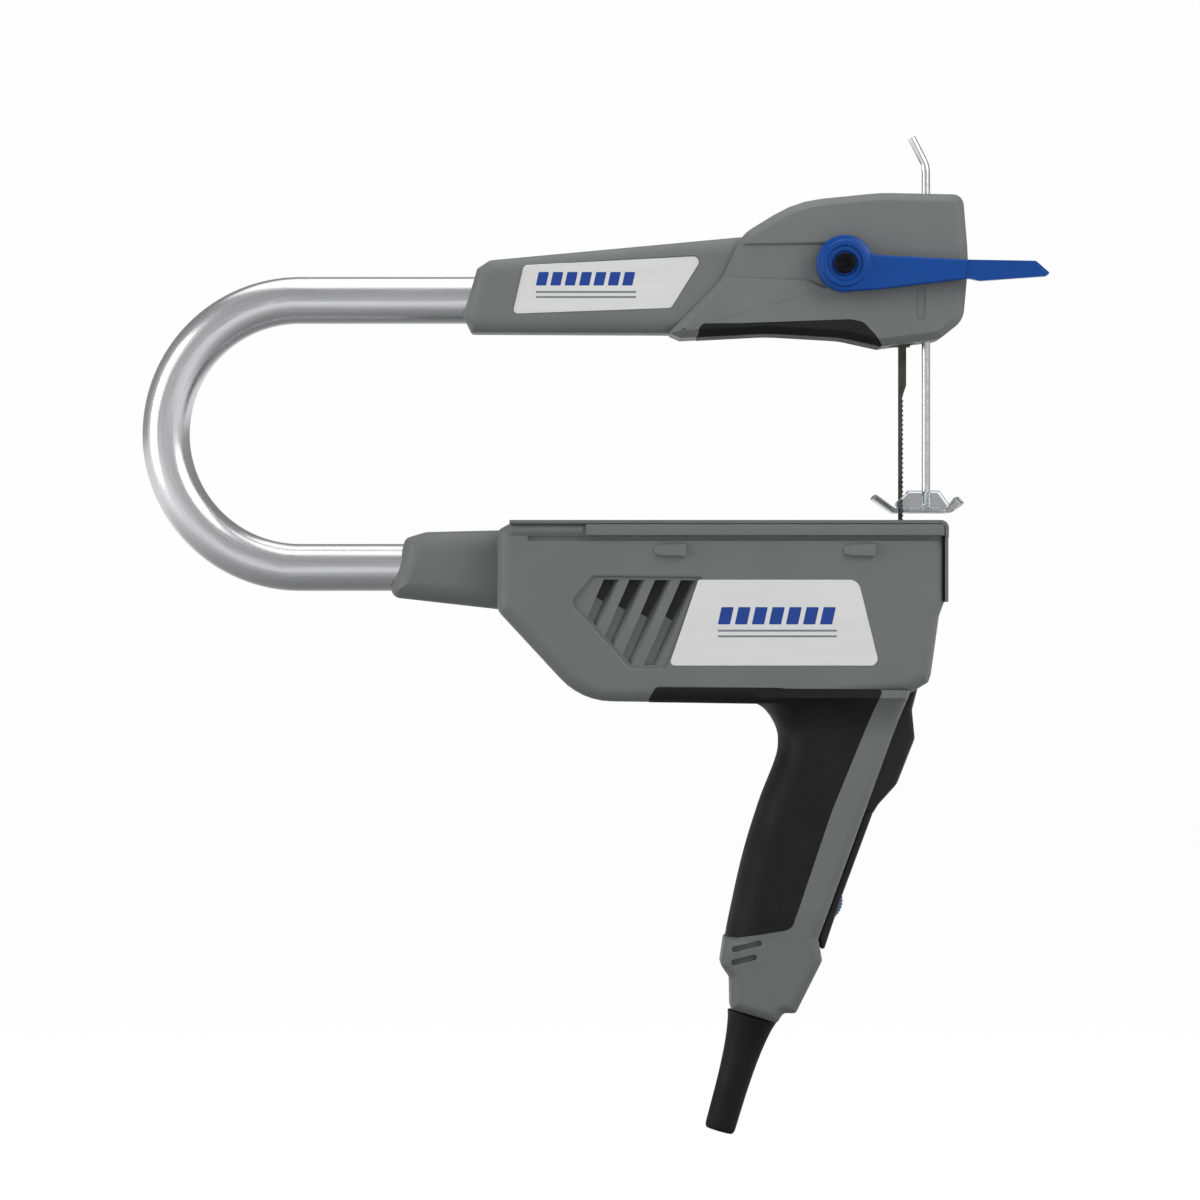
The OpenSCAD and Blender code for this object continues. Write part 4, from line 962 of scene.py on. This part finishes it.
# -------------------- lever
def lever():
    """Tension lever: a ringed hub with a tapering arm and a thinner finger tab."""
    top, out = lever_high.y, lever_high.y - lever_low.y
    centre = (pivot_x, top, pivot_z)
    hub = lathe("tension_lever_arm", centre, (0, -1, 0), [
        (3, 0), (9.6, 0), (10.1, 0.5), (10.1, out - 2.4), (9.85, out - 1.7), (9.3, out - 1.3),
        (8.6, out - 1.2),
        (8.25, out - 0.9), (8.05, out - 0.3), (7.6, out), (6.7, out), (6.3, out - 0.25), (6.05, out - 0.8),
        (4.8, out - 0.9), (4.3, out - 1.2), (4.2, out - 1.8), (3, out - 1.8)], 72)
    length = lever_high.x - pivot_x
    tab = length - 28.6
    tail = [(0, -9.9, 0), (12, -9.2, 20), (tab, -5.4, 0.8), (tab + 3.6, -6.2, 1.5),
            (length - 1.6, -4.5, 0.6), (length - 0.2, -3.3, 0.5), (length - 5.3, 0.9, 0.6),
            (tab, 1.3, 60), (9.4, 3.1, 3.5), (6.4, 7.4, 1), (0, 6, 0)]
    tail = [(x + pivot_x, z + pivot_z, r) for x, z, r in tail]
    reach = -top + 6.5
    edge_r = 0.9
    edge = [(edge_r * (1 - math.cos(a)), reach - edge_r * (1 - math.sin(a)))
            for a in (0, 0.4, 0.8, 1.2, math.pi / 2)]
    arm = loft("arm", tail, [(0.5, -top + 0.5), (0, -top + 1)] + edge, RIGHT)
    thin = [(pivot_x + tab + 0.6, pivot_z + 8, 0), (pivot_x + tab - 2.6, pivot_z - 9, 0),
            (pivot_x + length + 5, pivot_z - 9, 0), (pivot_x + length + 5, pivot_z + 8, 0)]
    cut(arm, plate("thin", thin, -(reach + 5), -(reach - 0.7)))
    tip_low, tip_out = pivot_x + length - 9, pivot_x + length + 2
    cut(arm, hull("tip", [(tip_low, -reach - 1, pivot_z + 6), (tip_out, -reach - 1, pivot_z + 6),
                          (tip_low + 3, -reach - 1, pivot_z - 0.8), (tip_out, -reach - 1, pivot_z - 6),
                          (tip_out, -reach + 3.2, pivot_z - 6), (tip_out, -reach + 3.2, pivot_z + 6)]))
    cut(arm, rod("clear", (pivot_x, -40, pivot_z), (pivot_x, 0, pivot_z), 7.5, 48))
    join(hub, arm)
    polish(hub, bevel=0.15)
    piece(hub, "lever", "lever_blue", "tension_lever")


def lever_bolt():
    """Socket-head screw in the lever's hub."""
    face, tall, socket_r = -screw_low.y, screw_high.y - screw_low.y, 1.9
    head = lathe("lever_bolt", (pivot_x, screw_high.y, pivot_z), (0, -1, 0),
                 [(0, 0), (3.5, 0), (3.65, 0.2), (3.65, tall - 0.5), (3.2, tall), (0, tall)], 48)
    socket = [(pivot_x + socket_r * math.cos(a), pivot_z + socket_r * math.sin(a), 0.1)
              for a in [math.pi / 3 * k for k in range(6)]]
    cut(head, plate("socket", socket, -(face + 1), -(face - 1.8)))
    polish(head, bevel=0.12)
    piece(head, "lever", "screw_steel", "lever_screw")


# -------------------- foot
def foot_bar():
    """Round rod of the material foot, with its top bent back."""
    radius = 1.5
    top = Vector((rod_low.x + radius, rod_high.z - radius))
    straight = 124.5
    bend = [Vector((foot_x, z)) for z in (foot_z + 2.6, 20, 40, 60, 80, 100, 115, straight)]
    path = smooth_path([(foot_x, straight), (foot_x - 0.4, straight + 2.6), (foot_x - 1.8, straight + 5.6),
                        (top.x + 0.1, top.y)], 8)
    obj = sweep("foot_bar", bend + path[1:], radius, 32)
    polish(obj, bevel=0.3)
    piece(obj, "foot", "bright_steel", "foot_rod")


def foot():
    """Clear moulded foot: a thin forked sole with upturned ends and the block that grips the rod."""
    z, half = foot_z, foot_high.y
    sole = [(-3.4, z, 2.5), (17.3, z, 2.5), (22.1, z + 3.4, 0.5), (19.5, z + 6, 0.5), (16.4, z + 1.7, 2),
            (-2.6, z + 1.6, 2.5), (-9.6, z + 6.7, 0.5), (-10.8, z + 5, 0.5)]
    block = [(-1, z + 0.4, 0), (17, z + 0.4, 0), (17.1, z + 3, 1), (13.4, z + 8, 1), (2.2, z + 8, 1),
             (-2.2, z + 3.4, 1)]
    obj = loft("foot", sole, both([(0, 0.5), (0, half - 1.2), (0.25, half - 0.35), (0.6, half - 0.05)]))
    join(obj, loft("block", block, both([(0, 0.5), (0, 3.4), (0.3, 4.2), (0.9, 4.5)])))
    cut(obj, hull("fork", [(x, y, q) for x, y in ((-20, -2.6), (-20, 2.6), (2.6, -1.5), (2.6, 1.5))
                           for q in (-5, 30)]),
        rod("rod_way", (foot_x, 0, z + 2.4), (foot_x, 0, z + 20), 1.55, 32))
    polish(obj, bevel=0.2)
    piece(obj, "foot", "clear_plastic", "material_foot")


# -------------------- switch and dial
def switch_paddle():
    """Long paddle down the handle's front, pivoted at its top."""
    outline = [(-4.6, -60.2, 1), (-17.4, -98.6, 2), (-13.6, -104.4, 1.5), (-10.2, -104.2, 1),
               (-8.4, -101.2, 3), (-1.7, -93.8, 6), (4.7, -77.6, 3), (3.7, -67.4, 4), (5.8, -59.4, 0.6),
               (0.4, -59, 1)]
    obj = loft("switch_paddle", outline, both(soft_edge(paddle_half, 1.6, 2.6, 5)))
    cut(obj, rod("pin_way", (0.4, -20, -63.6), (0.4, 20, -63.6), 1.56, 32))
    polish(obj, bevel=0.2)
    piece(obj, "paddle", "black_plastic", "paddle")


def dial():
    """Thumb wheel with fine ridges round its rim."""
    radius, half, ridges, groove = 7.95, 2.8, 40, 0.32
    edge = [(0.7, -half), (0.25, -half + 0.25), (0, -half + 0.8)]
    bm = bmesh.new()
    rings = []
    for inset, y in edge + [(inset, -y) for inset, y in reversed(edge)]:
        ring = []
        for k in range(ridges * 4):
            notch = groove if k % 4 in (1, 2) else 0.0
            a = 2 * math.pi * k / (ridges * 4)
            r = radius - inset - notch
            x, z = dial_x + r * math.cos(a), dial_z + r * math.sin(a)
            ring.append(bm.verts.new((x * MM, y * MM, z * MM)))
        rings.append(ring)
    bridge(bm, rings)
    obj = new_object("dial", bm)
    cut(obj, rod("shaft_way", (dial_x, -5, dial_z), (dial_x, 5, dial_z), 1.56, 24))
    polish(obj)
    piece(obj, "dial", "dial_grey", "speed_dial")


def coil(name, node, turns, wire, part=(0.0, 1.0), side_steps=10, steps=40):
    """Part of a coil spring in its CAD stand-in's box, with closed ends.
    """
    low, high = box_mm(node)
    centre = (low + high) / 2
    radius, closing = (high.x - low.x) / 2 - wire, 0.055
    z0, z1 = low.z + wire, high.z - wire
    bm = bmesh.new()
    rings = []
    count = int(turns * steps)
    first, last = (round(share * count) for share in part)
    for i in range(first, last + 1):
        t = i / count
        eased = t - closing * math.sin(4 * math.pi * t) if 0.0 < t < 1.0 else t
        z = z0 + (z1 - z0) * min(max(eased, 0.0), 1.0)
        a = 2 * math.pi * i / steps
        ring = []
        for k in range(side_steps):
            b = 2 * math.pi * k / side_steps
            r = radius + wire * math.cos(b)
            x, y = centre.x + r * math.cos(a), centre.y + r * math.sin(a)
            ring.append(bm.verts.new((x * MM, y * MM, (z + wire * math.sin(b)) * MM)))
        rings.append(ring)
    bridge(bm, rings)
    obj = new_object(name, bm)
    polish(obj)
    dress(obj, "bright_steel")
    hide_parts(node)
    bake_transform(obj)


# -------------------- CAD nodes that stay
def carried_nodes():
    """Materials, eased edges and smooth shading for every CAD node that is still shown."""
    slots = {part["node"]: part["material_slot"] for part in frame["record"]["subparts"]}
    for name, obj in frame["nodes"].items():
        dress(obj, slots[name])
        if obj.hide_render:
            continue
        ease = obj.modifiers.new("ease", "BEVEL")
        ease.width = 0.18 * MM
        ease.segments = 2
        ease.limit_method = "ANGLE"
        ease.angle_limit = math.radians(50)
        obj.modifiers.new("flats", "WEIGHTED_NORMAL").keep_sharp = True


# -------------------- stage
def ramp(tree, value, stops):
    """Grey ramp of (position, brightness) stops driven by value."""
    node = tree.nodes.new("ShaderNodeValToRGB")
    elements = node.color_ramp.elements
    elements[0].position, elements[1].position = stops[0][0], stops[-1][0]
    for position, _ in stops[1:-1]:
        elements.new(position)
    for element, (_, brightness) in zip(elements, stops):
        element.color = (brightness, brightness, brightness, 1)
    tree.links.new(value, node.inputs["Fac"])
    return node.outputs["Color"]


def floor():
    """Large pale floor a hand's width under the tool.

    It glows, and the glow is painted light: it grows with distance from the tool, standing in for the light on a
    lit sweep, and it glows brighter to the camera than to the tool.
    """
    radius, drop = 14.0, 0.12
    bm = bmesh.new()
    bmesh.ops.create_circle(bm, cap_ends=True, segments=128, radius=radius)
    mesh = bpy.data.meshes.new("floor")
    bm.to_mesh(mesh)
    bm.free()
    obj = bpy.data.objects.new("floor", mesh)
    obj.location = (-0.1, 0, cad_box[0].z - drop)
    show(obj)
    f = Finish("floor_white", (150, 150, 150), 0.85)
    distance = f.add("ShaderNodeTexGradient", gradient_type="SPHERICAL")
    f.link(f.spots(stretch=(1, 1, 1)), distance.inputs["Vector"])
    # Painted light: emission ramps by distance from the tool, a dimmer one lighting the tool and a brighter one
    # seen by the camera.
    painted_glow_on_tool = ((0.0, 0.85), (0.3, 0.4), (0.6, 0.12), (0.85, 0.0))
    painted_glow_to_eye = ((0.0, 0.85), (0.3, 0.62), (0.6, 0.46), (0.85, 0.4))
    seen = f.add("ShaderNodeMix", data_type="RGBA")
    f.link(f.add("ShaderNodeLightPath").outputs["Is Camera Ray"], seen.inputs[0])
    f.link(ramp(f.tree, distance.outputs["Fac"], painted_glow_on_tool), seen.inputs[6])
    f.link(ramp(f.tree, distance.outputs["Fac"], painted_glow_to_eye), seen.inputs[7])
    f.link(seen.outputs[2], f.shader.inputs["Emission Color"])
    f.shader.inputs["Emission Strength"].default_value = 1.0
    f.shader.inputs["Specular IOR Level"].default_value = 0.1
    mesh.materials.append(f.material)


def area_light(name, location, target, width, height, radiance):
    """Soft panel of that radiance, seen in reflections but not directly."""
    data = bpy.data.lights.new(name, "AREA")
    data.shape = "RECTANGLE"
    data.size, data.size_y = width, height
    data.energy = radiance * math.pi * width * height
    obj = bpy.data.objects.new(name, data)
    obj.location = location
    obj.rotation_mode = "QUATERNION"
    obj.rotation_quaternion = (Vector(target) - Vector(location)).to_track_quat("-Z", "Y")
    obj.visible_camera = False
    show(obj)


def surroundings():
    """White background. The tool itself is lit by a softer, uneven room, darker behind it."""
    backdrop = (0.99, 0.99, 0.99, 1)
    world = bpy.data.worlds.new("studio")
    bpy.context.scene.world = world
    world.use_nodes = True
    tree = world.node_tree
    background = tree.nodes["Background"]
    coords = tree.nodes.new("ShaderNodeTexCoord")
    split = tree.nodes.new("ShaderNodeSeparateXYZ")
    tree.links.new(coords.outputs["Generated"], split.inputs["Vector"])
    height = tree.nodes.new("ShaderNodeMapRange")
    depth = tree.nodes.new("ShaderNodeMapRange")
    for node, axis in ((height, "Z"), (depth, "Y")):
        node.inputs["From Min"].default_value = -1
        tree.links.new(split.outputs[axis], node.inputs["Value"])
    rise = ramp(tree, height.outputs["Result"],
                ((0.0, 0.3), (0.47, 0.45), (0.5, 0.6), (0.6, 0.6), (0.78, 0.5), (1.0, 0.5)))
    room = ramp(tree, depth.outputs["Result"], ((0.0, 0.9), (0.45, 0.9), (0.7, 0.62), (1.0, 0.55)))
    mix = tree.nodes.new("ShaderNodeMix")
    mix.data_type, mix.blend_type = "RGBA", "MULTIPLY"
    mix.inputs[0].default_value = 1.0
    tree.links.new(rise, mix.inputs[6])
    tree.links.new(room, mix.inputs[7])
    path = tree.nodes.new("ShaderNodeLightPath")
    seen = tree.nodes.new("ShaderNodeMix")
    seen.data_type = "RGBA"
    seen.inputs[7].default_value = backdrop
    tree.links.new(path.outputs["Is Camera Ray"], seen.inputs[0])
    tree.links.new(mix.outputs[2], seen.inputs[6])
    tree.links.new(seen.outputs[2], background.inputs["Color"])


def lights():
    """Overhead softbox, a key from the right front and a tall panel beyond the bend of the tube."""
    middle = (-0.1, 0, -0.03)
    area_light("overhead", (-0.15, 0.1, 1.1), middle, 0.9, 1.2, 1.7)
    area_light("key_right", (0.5, -0.5, 0.45), middle, 0.55, 0.55, 3.8)
    area_light("side_left", (-1.1, -0.45, 0.25), middle, 0.5, 0.9, 3.4)


def camera():
    """Side view from the right, square to the tool, through a long lens."""
    target = Vector((-0.1075, 0, -0.0282))
    view_width, lens, sensor = 0.4284, 180, 36
    data = bpy.data.cameras.new("camera")
    data.lens, data.sensor_width = lens, sensor
    data.clip_end = 100
    obj = bpy.data.objects.new("camera", data)
    obj.location = target + Vector((0, -view_width * lens / sensor, 0))
    obj.rotation_euler = (math.pi / 2, 0, 0)
    show(obj)
    bpy.context.scene.camera = obj


housing_pieces()
arm_pieces()
labels()
tube()
boot()
strip()
lever()
lever_bolt()
foot_bar()
foot()
switch_paddle()
dial()
coil("tension_coil_low", "tension_spring", 6, 0.55, (0.0, 0.3))
coil("tension_coil_high", "tension_spring", 6, 0.55, (0.3, 1.0))
coil("lift_coil", "lift_spring", 7, 0.25, side_steps=8, steps=24)
carried_nodes()
floor()
surroundings()
lights()
camera()
bpy.context.scene.view_settings.view_transform = "Standard"

bpy.context.view_layer.update()
